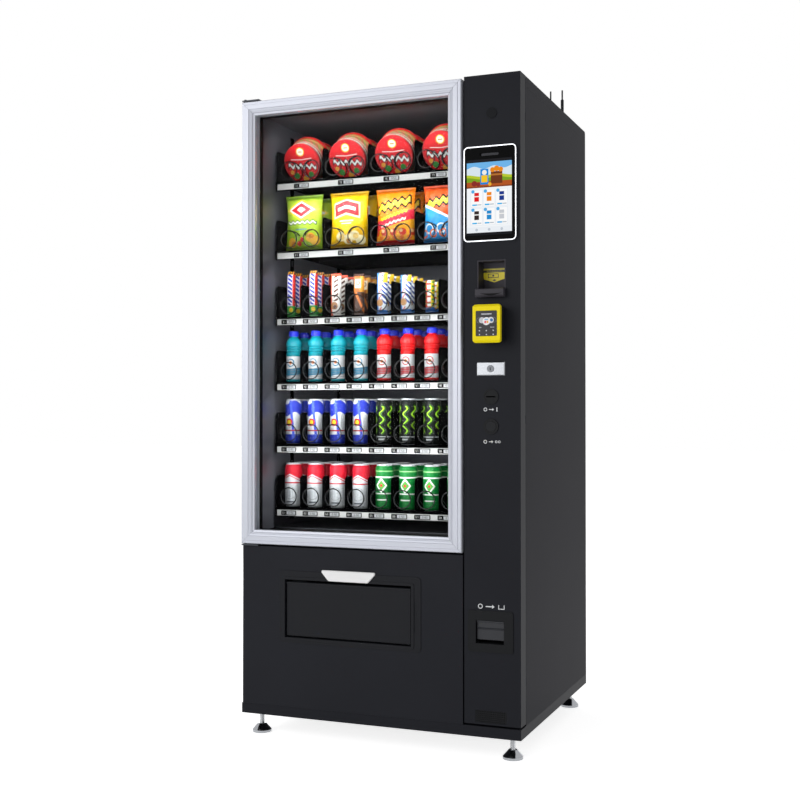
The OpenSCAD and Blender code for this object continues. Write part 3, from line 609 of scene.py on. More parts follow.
def pillow(width, height, depth, pinch, fullness, seal, crumple, seed, across=22, up=34):
    """A filled film bag: crimped flat seals at top and bottom, sides that pull in, crumpled faces."""
    crimp_pitch, crimp_depth = 2.4, 0.35
    pucker_reach, half_film = 14, 0.3

    def place_of(side, s, t):
        """A point of the front (-1) or the back (1), for s across and t up, each from -1 to 1."""
        x = width / 2 * (1 - pinch * (1 - t * t) * (1 + 0.3 * t)) * s
        z = height * (1 + t) / 2
        if abs(s) == 1:
            return Vector((x, 0, z))
        edge_in = height / 2 * (1 - abs(t))
        bulge = depth / 2 * (1 - abs(s) ** fullness) ** 0.55 * max(0, 1 - abs(t) ** 5) ** 0.7
        if edge_in < seal:
            bulge = 0.5 + crimp_depth * sin(z * 2 * pi / crimp_pitch)
        crease = noise.noise(Vector((x / 13 + seed, z / 21, side * 3)))
        pucker = sin(x * 0.9 + 3 * noise.noise(Vector((x / 20, z / 30, seed))))
        near_seal = exp(-max(0, edge_in - seal) / pucker_reach)
        fold = crumple * (crease + 0.35 * pucker * near_seal) * (1 - abs(s) ** 8)
        return Vector((x, side * max(half_film, bulge + fold), z))

    made = Shape()
    index = {}
    for side in (-1, 1):
        for j in range(up + 1):
            for i in range(across + 1):
                if side == 1 and i in (0, across):
                    index[(side, i, j)] = index[(-1, i, j)]
                else:
                    index[(side, i, j)] = len(made.points)
                    made.points.append(place_of(side, 2 * i / across - 1, 2 * j / up - 1))
    for side, part, way in ((-1, 0, 1), (1, 1, -1)):
        for j in range(up):
            for i in range(across):
                around = [(i, j), (i + 1, j), (i + 1, j + 1), (i, j + 1)][::way]
                corners = [index[(side, *key)] for key in around]
                made.face(corners, flat_art(made, corners, part))
    return made


def rounded_outline(width, height, radius, corner_steps=5):
    """The corners of a rounded rectangle about the origin, as (x, z)."""
    outline = []
    for sx, sz, start in ((1, 1, 0), (-1, 1, 90), (-1, -1, 180), (1, -1, 270)):
        for step in range(corner_steps + 1):
            angle = radians(start + 90 * step / corner_steps)
            x = sx * (width / 2 - radius) + radius * cos(angle)
            z = sz * (height / 2 - radius) + radius * sin(angle)
            outline.append((x, z))
    return outline


def rectangle(width, height, x=0, z=0):
    """The corners of a rectangle about a place."""
    return [(x + sx * width / 2, z + sz * height / 2) for sx, sz in ((-1, -1), (1, -1), (1, 1), (-1, 1))]


def plate(outline, thick, chamfer=0.4):
    """A plate with its back at y = 0 and its front, with chamfered edges, at y = -thick."""
    made = Shape()
    centre_x = sum(x for x, z in outline) / len(outline)
    centre_z = sum(z for x, z in outline) / len(outline)
    widest = max(abs(x - centre_x) for x, z in outline)
    tallest = max(abs(z - centre_z) for x, z in outline)
    count = len(outline)
    for depth, inset in ((0, 0), (-(thick - chamfer), 0), (-thick, chamfer)):
        for x, z in outline:
            nx = centre_x + (x - centre_x) * (1 - inset / widest)
            nz = centre_z + (z - centre_z) * (1 - inset / tallest)
            made.points.append(Vector((nx, depth, nz)))
    for level in range(2):
        for i in range(count):
            j = (i + 1) % count
            row = level * count
            corners = [row + i, row + j, row + count + j, row + count + i]
            made.face(corners, flat_art(made, corners, 1))
    front = [2 * count + i for i in reversed(range(count))]
    made.face(front, flat_art(made, front, 0))
    back = list(range(count))
    made.face(back, flat_art(made, back, 1))
    return made


def piece(name, shape, at, body, materials, smooth=40):
    """Makes a Blender object of a shape, at a place in metres, riding on a body."""
    mesh = bpy.data.meshes.new(name)
    origin = Vector(at)
    mesh.from_pydata([origin + p * MM for p in shape.points], [], shape.faces)
    art = mesh.attributes.new("art", "FLOAT_VECTOR", "CORNER")
    values = [value for corners in shape.art for corner in corners for value in corner]
    art.data.foreach_set("vector", values)
    for material in materials:
        mesh.materials.append(material)
    for polygon, ink in zip(mesh.polygons, shape.inks):
        polygon.material_index = ink
    mesh.shade_smooth()
    mesh.set_sharp_from_angle(angle=radians(smooth))
    mesh.update()
    made = placed(name, mesh)
    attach(made, body)
    return made


# -------- goods


def printed(name, pattern, rough=0.32, metal=0.0, coat=0.0, grain=500.0, strength=0.06):
    """A printed film or can. Every pattern takes (u, v, part) and gives a base colour and its layers."""
    material, tree, shader = blank(name)
    base, layers = pattern(*art_uv(tree))
    put(shader, {"Base Color": painted(tree, base, layers), "Metallic": metal, "Coat Weight": coat})
    rough_and_bumped(tree, shader, rough, grain, strength)
    return material


def cup_print(u, v, part):
    """A red lid with an emblem, a zigzag ribbon and vegetables; sides of red, white and green bands."""
    zigzag = abs(v + 9 - u.wave(19, 5) - u * 0.08)
    greens = disc(u, v, (-26, -36), 9) | disc(u, v, (24, -38), 10)
    golds = disc(u, v, (-6, -48), 9) | disc(u, v, (38, -26), 7)
    return "a81c22", within(part < 0.5, [
        (v.between(9, 21), "241a1a"),
        (v.between(12, 18) & (abs((u + v * 0.6).repeat(9)) < 2.8), "efe9dc"),
        (v.between(24, 28), "c8bfa8"),
        (v.between(31, 44) & (abs((u + v * 1.4).repeat(24)) < 6), "3f8c40"),
        (v.between(46, 50), "c9b878"),
        (v.between(53, 58), "7c8a3c"),
    ]) + [
        (part.between(0.5, 1.5), "b8141c"),
        (part > 1.5, "dc1620"),
    ] + within(part > 1.5, [
        (disc(u, v, (0, 37), 14), "f2c238"),
        (disc(u, v, (0, 37), 11), "fbf4e2"),
        (patch(u, v, (0, 37), 14, 3.4), "b9902c"),
        ((abs(v - 12 - abs(u) * 0.08) < 1.3) & (abs(u) < 36), "f4e6e0"),
        (greens | golds, "3f8e3c"),
        (golds, "e9a33a"),
        ((zigzag < 8) & (abs(u) < 50), "1c1214"),
        ((zigzag < 4.5) & (abs(u) < 47), "f6f4f0"),
    ])


def lime_print(u, v, part):
    badge = abs(u) * 0.62 + abs(v - 128)
    ribbon = abs(v - 88 - u.wave(17, 3))
    return "a9c832", [
        (v > 160, "7fa52c"),
        ((v + u * 0.5) < 70, "8fb52a"),
        (v < 12, "8fb12f"),
    ] + within(part < 0.5, [
        (badge < 34, "f6d63a"),
        (badge < 28, "f7f3e6"),
        (badge < 22, "c8202a"),
        (badge < 9, "f7f3e6"),
        ((ribbon < 6) & (abs(u) < 50), "2f5f2c"),
        ((ribbon < 2.6) & (abs(u) < 47), "f4f6ec"),
        (patch(u, v, (0, 66), 40, 4), "5b8f9a"),
        (discs(u, v, [(-34, 26), (30, 40), (44, 30)], 15), "eeb432"),
        (discs(u, v, [(-30, 22), (34, 44)], 8), "d8862a"),
        (discs(u, v, [(-8, 22), (4, 34)], 8), "c8322a"),
    ])


def yellow_print(u, v, part):
    badge = abs(v - 128 + abs(u) * 0.3)
    return "eebf0a", [
        (v > 160, "cf9f0a"),
        ((v - u * 0.4) < 42, "dba808"),
        (v < 12, "c8960c"),
    ] + within(part < 0.5, [
        ((badge < 25) & (abs(u) < 44), "f8ecb4"),
        ((badge < 19) & (abs(u) < 40), "c8202a"),
        ((badge < 5) & (abs(u) < 30), "f8f2e6"),
        (patch(u, v, (0, 84), 46, 4), "f8f2d8"),
        (patch(u, v, (0, 76), 34, 3), "f8f2d8"),
        (discs(u, v, [(-20, 36), (4, 26), (26, 38), (44, 24)], 15), "f6e7b4"),
        (discs(u, v, [(-16, 34), (30, 36)], 9), "e9c46a"),
        (disc(u, v, (6, 22), 8), "b97f2c"),
    ])


def zigzag_band(u, v, middle):
    """A black ribbon with a yellow zigzag in it, which climbs to the right."""
    zigzag = abs(v - middle - u * 0.22 - u.wave(22, 5))
    return [
        ((zigzag < 15) & (abs(u) < 56), "17130f"),
        ((zigzag < 8) & (abs(u) < 52), "f4cc1a"),
    ]


def orange_print(u, v, part):
    front = part < 0.5
    slope = v - u * 0.3
    return "ee8412", [
        (v > 160, "cf6a0c"),
        (front & (slope < 92), "d8243c"),
        (front & (slope < 62), "e8a01c"),
        (v < 16, "b4161c"),
    ] + within(front, zigzag_band(u, v, 124) + [
        ((abs(slope - 92 - u.wave(11, 2)) < 4) & (abs(u) < 44), "f4cc1a"),
        ((abs(slope - 70 - u.wave(13, 2)) < 3) & (abs(u) < 40), "fbf3e0"),
        (disc(u.repeat(30), v, (0, 40), 11), "c8321c"),
        (disc(u.repeat(30), v, (-4, 44), 5), "f0c084"),
        (disc(u.repeat(23), v, (4, 24), 7), "e06a1c"),
    ])


def blue_print(u, v, part):
    front = part < 0.5
    slope = v + u * 0.5
    return "e2541c", [
        (v > 160, "c9451a"),
    ] + within(front, zigzag_band(u, v, 126) + [
        (slope < 84, "2492d6"),
        (slope.between(84, 92), "eef4f8"),
        ((slope < 84) & ring(u.repeat(40), v, (0, 44), 16, 11), "e8f1f6"),
        ((slope < 84) & ring(u.repeat(32), v, (6, 30), 13, 8), "e2641c"),
    ]) + [
        (v < 12, "1f6fae"),
    ]


def toffee_print(u, v, part):
    return "efe9f2", [
        (u < -8.5, "b49ad2"),
        (u > 8.5, "cf2f2a"),
        ((abs((v + u * 0.7).repeat(13)) < 3.8) & (abs(u) < 7.5) & (v > 36), "2f3cae"),
        (v < 34, "2f9a3c"),
        (disc(u, v, (3, 22), 7), "f0c420"),
        (v > 134, "17120f"),
        ((v > 134) & (abs(u.repeat(8)) < 2), "ea9c1c"),
    ]


def cream_print(u, v, part):
    return "f2ede8", [
        (u < -10, "e0522c"),
        ((abs((v - u * 0.6).repeat(15)) < 3.6) & u.between(-4, 11) & (v > 44), "55291b"),
        (disc(u, v, (-2, 30), 12), "a9774a"),
        (disc(u, v, (0, 27), 6), "5a2f1e"),
        (v > 123, "e0522c"),
    ]


def cocoa_print(u, v, part):
    return "54301f", [
        ((v > 70) & (u < 6), "b9682c"),
        ((v > 70) & (u > 6), "d8952f"),
        (patch(u, v, (0, 96), 20, 28), "ead9c2"),
        (ring(u, v, (0, 98), 7, 4.5), "7a4428"),
        (abs(u * 2.2 + v - 52) < 9, "e07a2c"),
        (v > 119, "46261a"),
    ]


def milk_print(u, v, part):
    return "eef3f9", [
        (u < -9, "3a80d4"),
        ((abs((v + u).repeat(15)) < 3.4) & (u > 1) & (v > 30), "27479c"),
        ((abs((v - u * 1.4).repeat(19)) < 3) & u.between(-8, 1), "e0655c"),
        (disc(u, v, (-5, 34), 11), "c08a50"),
        ((u > 6) & (v > 96), "f0c41c"),
        (v < 12, "3a80d4"),
    ]


def fruit_print(u, v, part):
    return "c9301f", [
        (u > 5, "e6c41c"),
        (disc(u.repeat(11), v.repeat(13), (0, 0), 3), "2f8f3c"),
        ((abs(v.repeat(19)) < 6.5) & (abs(u) < 5.5) & (v > 18), "f1f1f0"),
        (v < 14, "2b63b4"),
        (v > 96, "15171a"),
    ]


def berry_print(u, v, part):
    return "b81f86", [
        (abs(u + v * 0.12 - 8) < 6, "ee62b2"),
        ((abs((v + u * 0.7).repeat(13)) < 3) & (abs(u) < 8), "f4e648"),
        (v < 20, "5a1a52"),
    ]


def bottle_print(body, shade):
    """The print of a bottle of one colour: a blue cap and a white wrap with marks in two shades."""
    def pattern(u, v, part):
        wrap = v.between(8, 84)
        return body, [
            (part > 0.5, "1f2fcf"),
            (wrap, "e9ecef"),
        ] + within(wrap, [
            (abs(v - 30 - u * 0.12) < 11, shade),
            ((abs(v.repeat(5)) < 0.8) & (v < 44), "8d949b"),
            (ring(u, v, (0, 60), 13, 10), shade),
            ((abs(u) * 0.8 + abs(v - 60)) < 6, "e8781e"),
            (v > 80, body),
        ])
    return pattern


def metal_end(part):
    """The layer of bare metal at the ends of a can."""
    return part > 0.5, "c9ccd1"


def blue_can_print(u, v, part):
    return "e8ebf0", [
        (abs(v - 112 - u.wave(60, 7)) < 19, "2f3fc0"),
        ((v < 30) & (part < 0.5), "2f3fc0"),
        (abs(u.repeat(42) - 14 + v * 0.1) < 4, "4a63dd"),
        (disc(u.repeat(84), v, (-4, 68), 12), "d8263a"),
        (disc(u.repeat(84), v, (-4, 68), 7), "f4cf2b"),
        (v.between(40, 44), "c6202f"),
        metal_end(part),
    ]


def green_can_print(u, v, part):
    zigzag = u.repeat(28) - v.wave(34, 7)
    return "0d1110", [
        ((abs(zigzag) < 2.6) & v.between(34, 118), "9ee02a"),
        ((abs(zigzag - 7) < 1) & v.between(28, 124), "3f7a2a"),
        (abs(v - 24) < 1.5, "c9ced1"),
        (patch(u.repeat(42), v, (0, 16), 22, 5), "c9ced1"),
        metal_end(part),
    ]


def red_can_print(u, v, part):
    turn = u.repeat(84)
    gable = v + abs(turn) * 0.5
    return "dfe2e6", [
        (gable > 104, "cf1f33"),
        (abs(gable - 99) < 1.6, "cf1f33"),
        (v.between(74, 78), "cf1f33"),
        (ring(turn, v, (0, 44), 20, 18.5), "9aa0a8"),
        ((abs(u.repeat(9)) < 1.5) & v.between(30, 56), "c9ced4"),
        (patch(turn, v, (0, 16), 30, 5), "6a7078"),
        metal_end(part),
    ]


def leaf_can_print(u, v, part):
    turn = u.repeat(89)
    leaf = abs(turn) + abs(v - 74) * 0.8
    return "0f7a33", [
        (abs(v - 74) < 27, "f2f5f0"),
        (abs(v - 74) < 23, "0f7a33"),
        (leaf < 19, "f2f5f0"),
        (leaf < 13, "5fb04a"),
        (disc(turn, v, (0, 74), 4), "d8332c"),
        (patch(turn, v, (0, 30), 34, 4), "f2f5f0"),
        (v.between(116, 119), "9ad08a"),
        metal_end(part),
    ]


LID_TILT = 24


def cup():
    """A noodle tub lying on its side, its wide rim back and its printed lid to the front."""
    side = [(59.0, 2.2, 2), (61.5, 2.6, 1), (62.5, 4.5, 1), (62.0, 7.0, 0)]
    side += [(62.0 + 0.09 * z, z, 0) for z in (24.0, 42.0, 60.0)]
    side += [(70.0, 63.0, 1), (71.0, 65.0, 1), (71.0, 69.0, 1), (68.0, 71.0, 1), (50.0, 69.0, 1)]
    made = lathe(side, segments=56)
    lid = [k for k, corners in enumerate(made.faces) if len(corners) > 4][0]
    made.art[lid] = [(-made.points[c].x, -made.points[c].y, 2) for c in made.faces[lid]]
    lay = Matrix.Rotation(radians(LID_TILT - 90), 3, "X")
    return Shape().add(made, turn=lay)


def can(radius, height):
    """A drinks can: necked foot and shoulder, seamed rim and sunken end with its tab."""
    profile = [
        (0.62, 2.0, 1), (0.78, 0.0, 1), (0.86, 1.2, 1), (0.95, 6.0, 0), (1, 11.0, 0), (1, height * 0.5, 0),
        (1, height - 16.0, 0), (0.97, height - 11.0, 0), (0.86, height - 4.5, 0), (0.84, height - 3.0, 1),
        (0.88, height - 1.8, 1), (0.88, height - 0.4, 1), (0.85, height, 1), (0.82, height - 0.6, 1),
        (0.81, height - 4.0, 1), (0.74, height - 4.4, 1), (0.72, height - 3.2, 1),
    ]
    made = lathe([(radius * share, z, part) for share, z, part in profile])
    tab = plate(rounded_outline(13, 22, 6.0), 1.0)
    lie = Matrix.Rotation(radians(-90), 3, "X")
    return made.add(tab, move=(0, -3, height - 3.2), turn=lie)


def bottle():
    """A ribbed sports bottle: straight label, waisted grip, round shoulder and ribbed screw cap."""
    profile = [(17.0, 1.5, 0), (21.0, 0.0, 0), (24.0, 2.0, 0), (24.8, 6.0, 0), (24.2, 8.0, 0)]
    profile += [(24.2, 84.0, 0), (24.9, 86.0, 0)]
    for rib in range(3):
        z = 90.0 + 8.0 * rib
        profile += [(24.9, z, 0), (22.6, z + 2.5, 0), (22.6, z + 4.0, 0), (24.9, z + 6.0, 0)]
    profile += [(25.4, 116.0, 0), (25.0, 122.0, 0), (23.2, 129.0, 0), (19.0, 135.5, 0), (14.5, 139.5, 0),
                (13.0, 141.5, 0), (13.0, 143.0, 0), (15.6, 143.4, 1), (15.9, 144.2, 1), (15.9, 158.0, 1),
                (15.2, 160.0, 1), (13.0, 161.0, 1)]
    made = lathe(profile)
    grip = plate(rectangle(1.2, 13), 0.5, chamfer=0.2)
    grip.art = [[(0, 0, 1)] * len(corners) for corners in grip.faces]
    ribs = 28
    for rib in range(ribs):
        turn = Matrix.Rotation(2 * pi * rib / ribs, 3, "Z")
        made.add(grip, move=turn @ Vector((0, -15.7, 151)), turn=turn)
    return made


TRAY_BOX = [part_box(f"tray_{row + 1}") for row in range(TRAYS)]
DIVIDER = 105 * MM
END_CLEAR = 7 * MM
STAND = 6 * MM
FIRST_PLACE = 47.3 * MM
COIL_PITCH = 74.67
BAR_PITCH = 50.0


def tray_top(row):
    return TRAY_BOX[row][1].z - DIVIDER


def lane_x(row, lane):
    """The middle of a lane. Between two lanes it is the middle of the pair."""
    low, high = TRAY_BOX[row]
    lane_w = (high.x - low.x - 2 * END_CLEAR) / LANES
    return low.x + END_CLEAR + lane_w * (lane + 0.5)


def stock(row, name, item, material, lanes, pitch=COIL_PITCH, deep=3, first=FIRST_PLACE, lift=STAND):
    """Copies of one item in some lanes of a tray, several deep, as one piece that rides on the tray."""
    base = Vector((lane_x(row, lanes[0]), TRAY_BOX[row][0].y + first, tray_top(row) + lift))
    made = Shape()
    for lane in lanes:
        for back in range(deep):
            across = (lane_x(row, lane) - base.x) / MM
            made.add(item, move=(across, pitch * back, 0))
    piece(name, made, base, f"tray_{row + 1}_body", [material])


def stock_cups():
    cups = printed("cup_print", cup_print, rough=0.35)
    stock(0, "noodle_cups", cup(), cups, [0.5, 2.5, 4.5, 6.5], first=22 * MM, lift=62 * MM)


def stock_bags():
    bags = {"lime": lime_print, "yellow": yellow_print, "orange": orange_print, "blue": blue_print}
    for number, (name, pattern) in enumerate(bags.items()):
        film = printed(f"bag_{name}", pattern, rough=0.34, coat=0.15, grain=90.0, strength=0.15)
        bag = pillow(132, 176, depth=52, pinch=0.09, fullness=2.2, seal=8, crumple=3.6, seed=2.7 * number)
        stock(1, f"bags_{name}", bag, film, [0.5 + 2 * number], first=44 * MM)


def stock_bars():
    bars = [
        ("toffee", [0, 1], 27, 144, toffee_print),
        ("cream", [2], 35, 131, cream_print),
        ("cocoa", [3], 35, 127, cocoa_print),
        ("milk", [4], 35, 127, milk_print),
        ("milk_low", [5], 35, 117, milk_print),
        ("fruit", [6], 29, 102, fruit_print),
        ("berry", [7], 31, 108, berry_print),
    ]
    for number, (name, lanes, wide, tall, pattern) in enumerate(bars):
        film = printed(f"bar_{name}", pattern, rough=0.3, coat=0.15, grain=140.0, strength=0.1)
        bar = pillow(wide, tall, depth=21, pinch=0.02, fullness=5.0, seal=5, crumple=0.8, seed=5.1 * number,
                     across=12, up=60)
        stock(2, f"bars_{name}", bar, film, lanes, pitch=BAR_PITCH, deep=4, first=29 * MM)


def stock_drinks():
    """Bottles and cans: one kind fills the left half of a tray, and another its right half."""
    gloss = {"rough": 0.26, "coat": 0.2}
    bright = {"rough": 0.28, "metal": 0.35}
    deep = {"rough": 0.28, "metal": 0.2}
    slim = can(26.8, 141)
    wide = can(28.3, 138)
    drinks = [
        (3, "bottle", bottle(), ("teal", bottle_print("0f8f9e", "1787b0"), gloss),
         ("red", bottle_print("cf1a1c", "c9262a"), gloss)),
        (4, "can", slim, ("blue", blue_can_print, bright), ("green", green_can_print, deep)),
        (5, "can", wide, ("red", red_can_print, bright), ("leaf", leaf_can_print, deep)),
    ]
    for row, kind, item, *halves in drinks:
        for half, (name, pattern, look) in enumerate(halves):
            lanes = [half * LANES // 2 + lane for lane in range(LANES // 2)]
            film = printed(f"{kind}_{name}", pattern, **look)
            stock(row, f"{kind}s_{name}", item, film, lanes)


# -------- price rails

SEGMENTS = {
    "0": "abcdef", "1": "bc", "2": "abged", "3": "abgcd", "4": "fgbc",
    "5": "afgcd", "6": "afgedc", "7": "abc", "8": "abcdefg", "9": "abcdfg",
}
BARS = {
    "a": (0, 1, True), "b": (0.5, 0.5, False), "c": (0.5, -0.5, False), "d": (0, -1, True),
    "e": (-0.5, -0.5, False), "f": (-0.5, 0.5, False), "g": (0, 0, True),
}
STROKE = 0.28
DIGIT_PITCH = 1.6


def digits(text, size):
    """A row of plain seven-bar digits about the origin, each size wide and twice as tall, in mm."""
    made = Shape()
    step = size * DIGIT_PITCH
    thin = size * STROKE
    for place, letter in enumerate(text):
        x0 = (place - (len(text) - 1) / 2) * step
        for name in SEGMENTS[letter]:
            x, z, flat = BARS[name]
            width, height = (size, thin) if flat else (thin, size)
            made.add(plate(rectangle(width, height, x0 + x * size, z * size), 0.12, chamfer=0.05))
    return made


def price_rails():
    """White strips in the rails' grooves, with a number tag and a price tag for every lane or pair."""
    white = surface("price_strip", "f4f4f2", 0.45, 700.0, 0.04, drift=0.03)
    dark = surface("price_tag", "0e0f10", 0.4, 900.0, 0.08, specular=0.15, edge=0.0003)
    ink = surface("tag_digits", "e9e9e6", 0.5, 900.0, 0.04, drift=0.03)
    grey = surface("price_window", "d6d8db", 0.35, 900.0, 0.04, drift=0.1)
    strip_tall, strip_thick = 18.4, 1.25
    shift, inset, drop = 4 * MM, 1.45 * MM, 11.5 * MM
    tag = plate(rounded_outline(52, 14.5, 3.0), 1.6)
    window = plate(rounded_outline(30, 10.5, 1.5), 0.3, chamfer=0.1)
    on_strip, on_tag, on_window = -0.9, -2.45, -2.7
    number_x, price_x = -17, 8.5
    for row in range(TRAYS):
        low, high = TRAY_BOX[row]
        length = (high.x - low.x - 2 * END_CLEAR) / MM
        origin = Vector(((low.x + high.x) / 2 + shift, low.y + inset, tray_top(row) - drop))
        made = plate(rounded_outline(length, strip_tall, 0.6, corner_steps=2), strip_thick)
        paired = row < 2
        first, step, tags = (10.0, 152.5, LANES // 2) if paired else (6.0, 74.8, LANES)
        start = (lane_x(row, 0.5 if paired else 0) - origin.x) / MM + first
        price = "0250" if row < 3 else "0150"
        for count in range(tags):
            x = start + step * count
            number = f"{row + 1}{2 * count + 1 if paired else count + 1}"
            made.add(tag, move=(x, on_strip, 0), ink=1)
            made.add(window, move=(x + price_x, on_tag, 0), ink=3)
            made.add(digits(number, 2.9), move=(x + number_x, on_tag, 0), ink=2)
            made.add(digits(price, 2.7), move=(x + price_x, on_window, 0), ink=1)
        piece(f"price_strip_{row + 1}", made, origin, f"tray_{row + 1}_body", [white, dark, ink, grey])


# -------- plates and labels on the front

THIN = 0.3
RECESS_LEAN = 7.1


def trim(name, shape, carrier, materials, at=None, smooth=40):
    """A piece that rides with a CAD node, on its surface where the image point of that name shows."""
    node = frame["nodes"][carrier]
    place = at or on_surface(POINTS[name], node)
    return piece(name, shape, place, node["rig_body"], materials, smooth=smooth)


def pull_plate():
    """The white pull plate over the delivery flap: wider at its top, with rounded lower corners."""
    nodes = frame["nodes"]
    at = on_surface(POINTS["pull_plate"], nodes["delivery_bezel"], nodes["lower_front_panel"])
    outline = [(83, 16), (-83, 16), (-86, 14), (-86, 9), (-66, -13.5), (-62, -16), (62, -16), (66, -13.5),
               (86, 9), (86, 14)]
    white = surface("plate_white", "f7f7f7", 0.3, 600.0, 0.03, drift=0.02, edge=0.0006)
    return trim("pull_plate", plate(outline, 5.0, chamfer=1.5), "delivery_bezel", [white], at=at, smooth=30)


def note_label_print(u, v, part):
    """Yellow with a black band over an outlined note, and a mark at the point that shows the way in."""
    return "ddcb1c", [
        (v > 17, "8f8512"),
        (v.between(8, 15.5), "14130f"),
        (v.between(10.5, 12.5) & (abs(u) < 24) & (abs(u.repeat(5)) < 1.7), "8f8512"),
        (patch(u, v, (-3, -1), 32, 12), "1b1b18"),
        (patch(u, v, (-3, -1), 28, 8.5), "ddcb1c"),
        (disc(u, v, (-3, -1), 3), "1b1b18"),
        ((abs(u) * 0.6 + abs(v + 14)) < 3.4, "1b1b18"),
    ]


def note_label():
    """The note entry's own label, on the sloping back of its recess."""
    outline = [(33, 20), (-33, 20), (-33, -10), (0, -20), (33, -10)]
    label = printed("note_label_print", note_label_print, rough=0.4)
    lean = Matrix.Rotation(radians(RECESS_LEAN), 3, "X")
    tilted = Shape().add(plate(outline, 0.6, chamfer=0.1), turn=lean)
    at = on_surface(POINTS["bill_label"], frame["nodes"]["bill_acceptor"])
    return trim("note_label", tilted, "bill_acceptor", [label], at=at)


def lip_slot_shade():
    """Painted shade in the note entry's slot: a dark plate on the lip, between a flat arc and a deeper one.
    """
    half, rise, steps = 33, 1.6, 14
    turns = [pi * k / steps for k in range(steps + 1)]
    across = [half - 2 * half * k / steps for k in range(steps + 1)]
    curve = [(x, rise - 1.2 * sin(turn)) for x, turn in zip(across, turns)]
    curve += [(-x, rise - 6.5 * sin(turn)) for x, turn in zip(across[1:-1], turns[1:-1])]
    # Painted shade: a near-black plate stands in for the shade inside the slot under the lip
    dark = surface("lip_slot_shade", "08080a", 0.6, 900.0, 0.05, specular=0.1)
    return trim("lip_slot_shade", plate(curve, THIN, chamfer=0.1), "bill_acceptor", [dark])


def ear_slot():
    """The grey slot over the screen's picture."""
    cloth = surface("slot_cloth", "48484c", 0.6, 900.0, 0.1, specular=0.05)
    return trim("ear_slot", plate(rounded_outline(54, 8.5, 4.0), THIN, chamfer=0.1), "screen_panel", [cloth])


def hoop(outer, inner):
    """A flat printed ring, made of two half bands."""
    made = Shape()
    steps = 12
    for side in (0, pi):
        arc = [side + pi * k / steps for k in range(steps + 1)]
        band = [(outer * cos(a), outer * sin(a)) for a in arc]
        band += [(inner * cos(a), inner * sin(a)) for a in reversed(arc)]
        made.add(plate(band, THIN, chamfer=0.05))
    return made


def arrow(length, head=5.0, stem=1.0):
    """A plain printed arrow that points to the right."""
    tip = length / 2
    neck = tip - head
    wing = head * 0.8
    upper = [(neck, wing), (neck, stem), (-tip, stem)]
    outline = [(tip, 0)] + upper + [(x, -z) for x, z in reversed(upper)]
    return plate(outline, THIN, chamfer=0.05)


def pillar_marks():
    """Plain white signs on the pillar: a coin to a slot, a coin to two, and a coin to a cup."""
    white = surface("sign_white", "e4e6e8", 0.5, 900.0, 0.03, specular=0.2, drift=0.03)
    slot_sign = plate(rectangle(2.4, 12), THIN, chamfer=0.05)
    cup_outline = [(9, 6), (7, 6), (7, -4), (-7, -4), (-7, 6), (-9, 6), (-9, -6), (9, -6)]
    cup_sign = plate(cup_outline, THIN, chamfer=0.05)
    coin = hoop(5.2, 3.4)
    change = hoop(3.6, 2.2)
    signs = {
        "coin_mark": [(coin, -18), (arrow(15), 0), (slot_sign, 16)],
        "change_mark": [(coin, -19), (arrow(13), -2), (change, 13), (change, 22)],
        "return_mark": [(hoop(7.0, 4.8), -32), (arrow(26, head=7.0, stem=1.5), -3), (cup_sign, 30)],
    }
    made = {}
    for name, parts in signs.items():
        sign = Shape()
        for part, x in parts:
            sign.add(part, move=(x, 0, 0))
        made[name] = trim(name, sign, "control_door", [white])
    return made


# -------- light, floor and world


def area_lamp(name, place, target, size, power, size_y=None):
    """A soft lamp that faces a target. Only the studio lamps show as reflections."""
    data = bpy.data.lights.new(name, "AREA")
    data.shape = "RECTANGLE"
    data.size = size
    data.size_y = size_y or size
    data.energy = power
    made = placed(name, data)
    made.location = place
    made.rotation_mode = "QUATERNION"
    made.rotation_quaternion = (Vector(target) - Vector(place)).to_track_quat("-Z", "Y")
    made.visible_camera = False
    made.visible_glossy = name.startswith("studio")


def studio():
    """Soft lamps round the machine, with each one's place, size and power."""
    lamps = {
        "studio_front": ((-1.6, -3.6, 1.9), 2.2, 50.0),
        "studio_right": ((3.4, -0.4, 0.2), 1.6, 10.0),
        "fill_front": ((0.6, -4.0, 0.5), 2.2, 32.0),
        "studio_back": ((-2.6, 3.2, 2.2), 2.2, 60.0),
    }
    for name, (place, size, power) in lamps.items():
        area_lamp(name, place, (cad_low + cad_high) / 2, size, power)


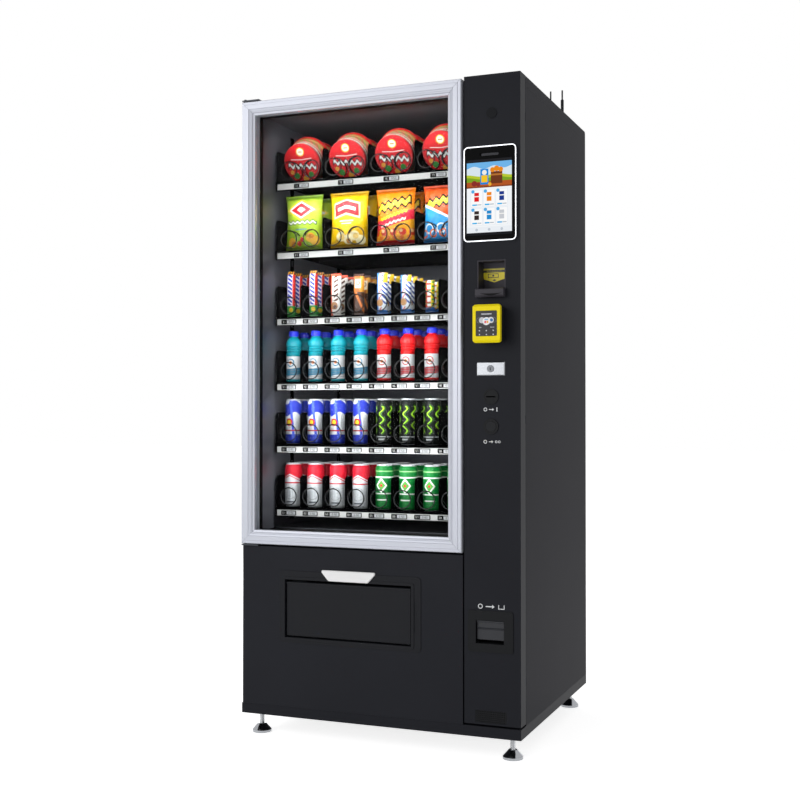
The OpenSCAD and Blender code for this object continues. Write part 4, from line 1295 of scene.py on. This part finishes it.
def inside_lamps():
    """A lamp strip before each tray and one under the ceiling, between the goods and the glass."""
    strip, shorter = 0.03, 0.1
    for row in range(TRAYS):
        low, high = TRAY_BOX[row]
        middle = (low.x + high.x) / 2
        place = (middle, low.y - 0.045, high.z + 0.05)
        target = (middle, low.y + 0.12, tray_top(row))
        area_lamp(f"inside_{row + 1}", place, target, high.x - low.x - shorter, 0.85, size_y=strip)
    low, high = TRAY_BOX[0]
    place = ((low.x + high.x) / 2, low.y - 0.03, high.z + 0.14)
    target = (0.0, high.y, high.z + 0.05)
    area_lamp("inside_top", place, target, high.x - low.x - shorter, 1.1, size_y=strip)


def looked_at(tree):
    """1 for rays from the camera, a mirror or a clear pane, and 0 for those that carry the lamps' light."""
    path = tree.nodes.new("ShaderNodeLightPath")
    camera_ray, mirror_ray, through_ray = [
        Term(tree, path.outputs[f"Is {kind} Ray"]) for kind in ("Camera", "Glossy", "Transmission")]
    return camera_ray | mirror_ray | through_ray


def white_world():
    """A world that looks white and lights the object with less."""
    world = bpy.data.worlds.new("world")
    world.use_nodes = True
    bpy.context.scene.world = world
    tree = world.node_tree
    put(tree.nodes["Background"], {"Strength": looked_at(tree) * 0.7 + 0.3, "Color": (1.0, 1.0, 1.0, 1.0)})


def ground():
    """A wide pale floor, white where the camera sees it, that keeps the object's shadow."""
    mesh = bpy.data.meshes.new("floor")
    width = 60.0
    mesh.from_pydata([(x, y, 0) for x, y in rectangle(width, width)], [], [(0, 1, 2, 3)])
    material, tree, shader = blank("floor")
    put(shader, {
        "Base Color": drifting(tree, "f6f6f6", 0.02, 1.0),
        "Roughness": 0.9,
        "Specular IOR Level": 0.0,
        "Emission Color": (1.0, 1.0, 1.0, 1.0),
        "Emission Strength": looked_at(tree) * 0.8,
    })
    mesh.materials.append(material)
    floor = placed("floor", mesh)


# -------- what shows where


dress_nodes()
stock_cups()
stock_bags()
stock_bars()
stock_drinks()
price_rails()
found_by_point = {"pull_plate": pull_plate(), "bill_label": note_label(), "lip_slot_shade": lip_slot_shade()}
found_by_point.update(pillar_marks())
found_by_point["ear_slot"] = ear_slot()
studio()
inside_lamps()
white_world()
ground()
bpy.context.scene.view_settings.view_transform = "Standard"
bpy.context.view_layer.update()
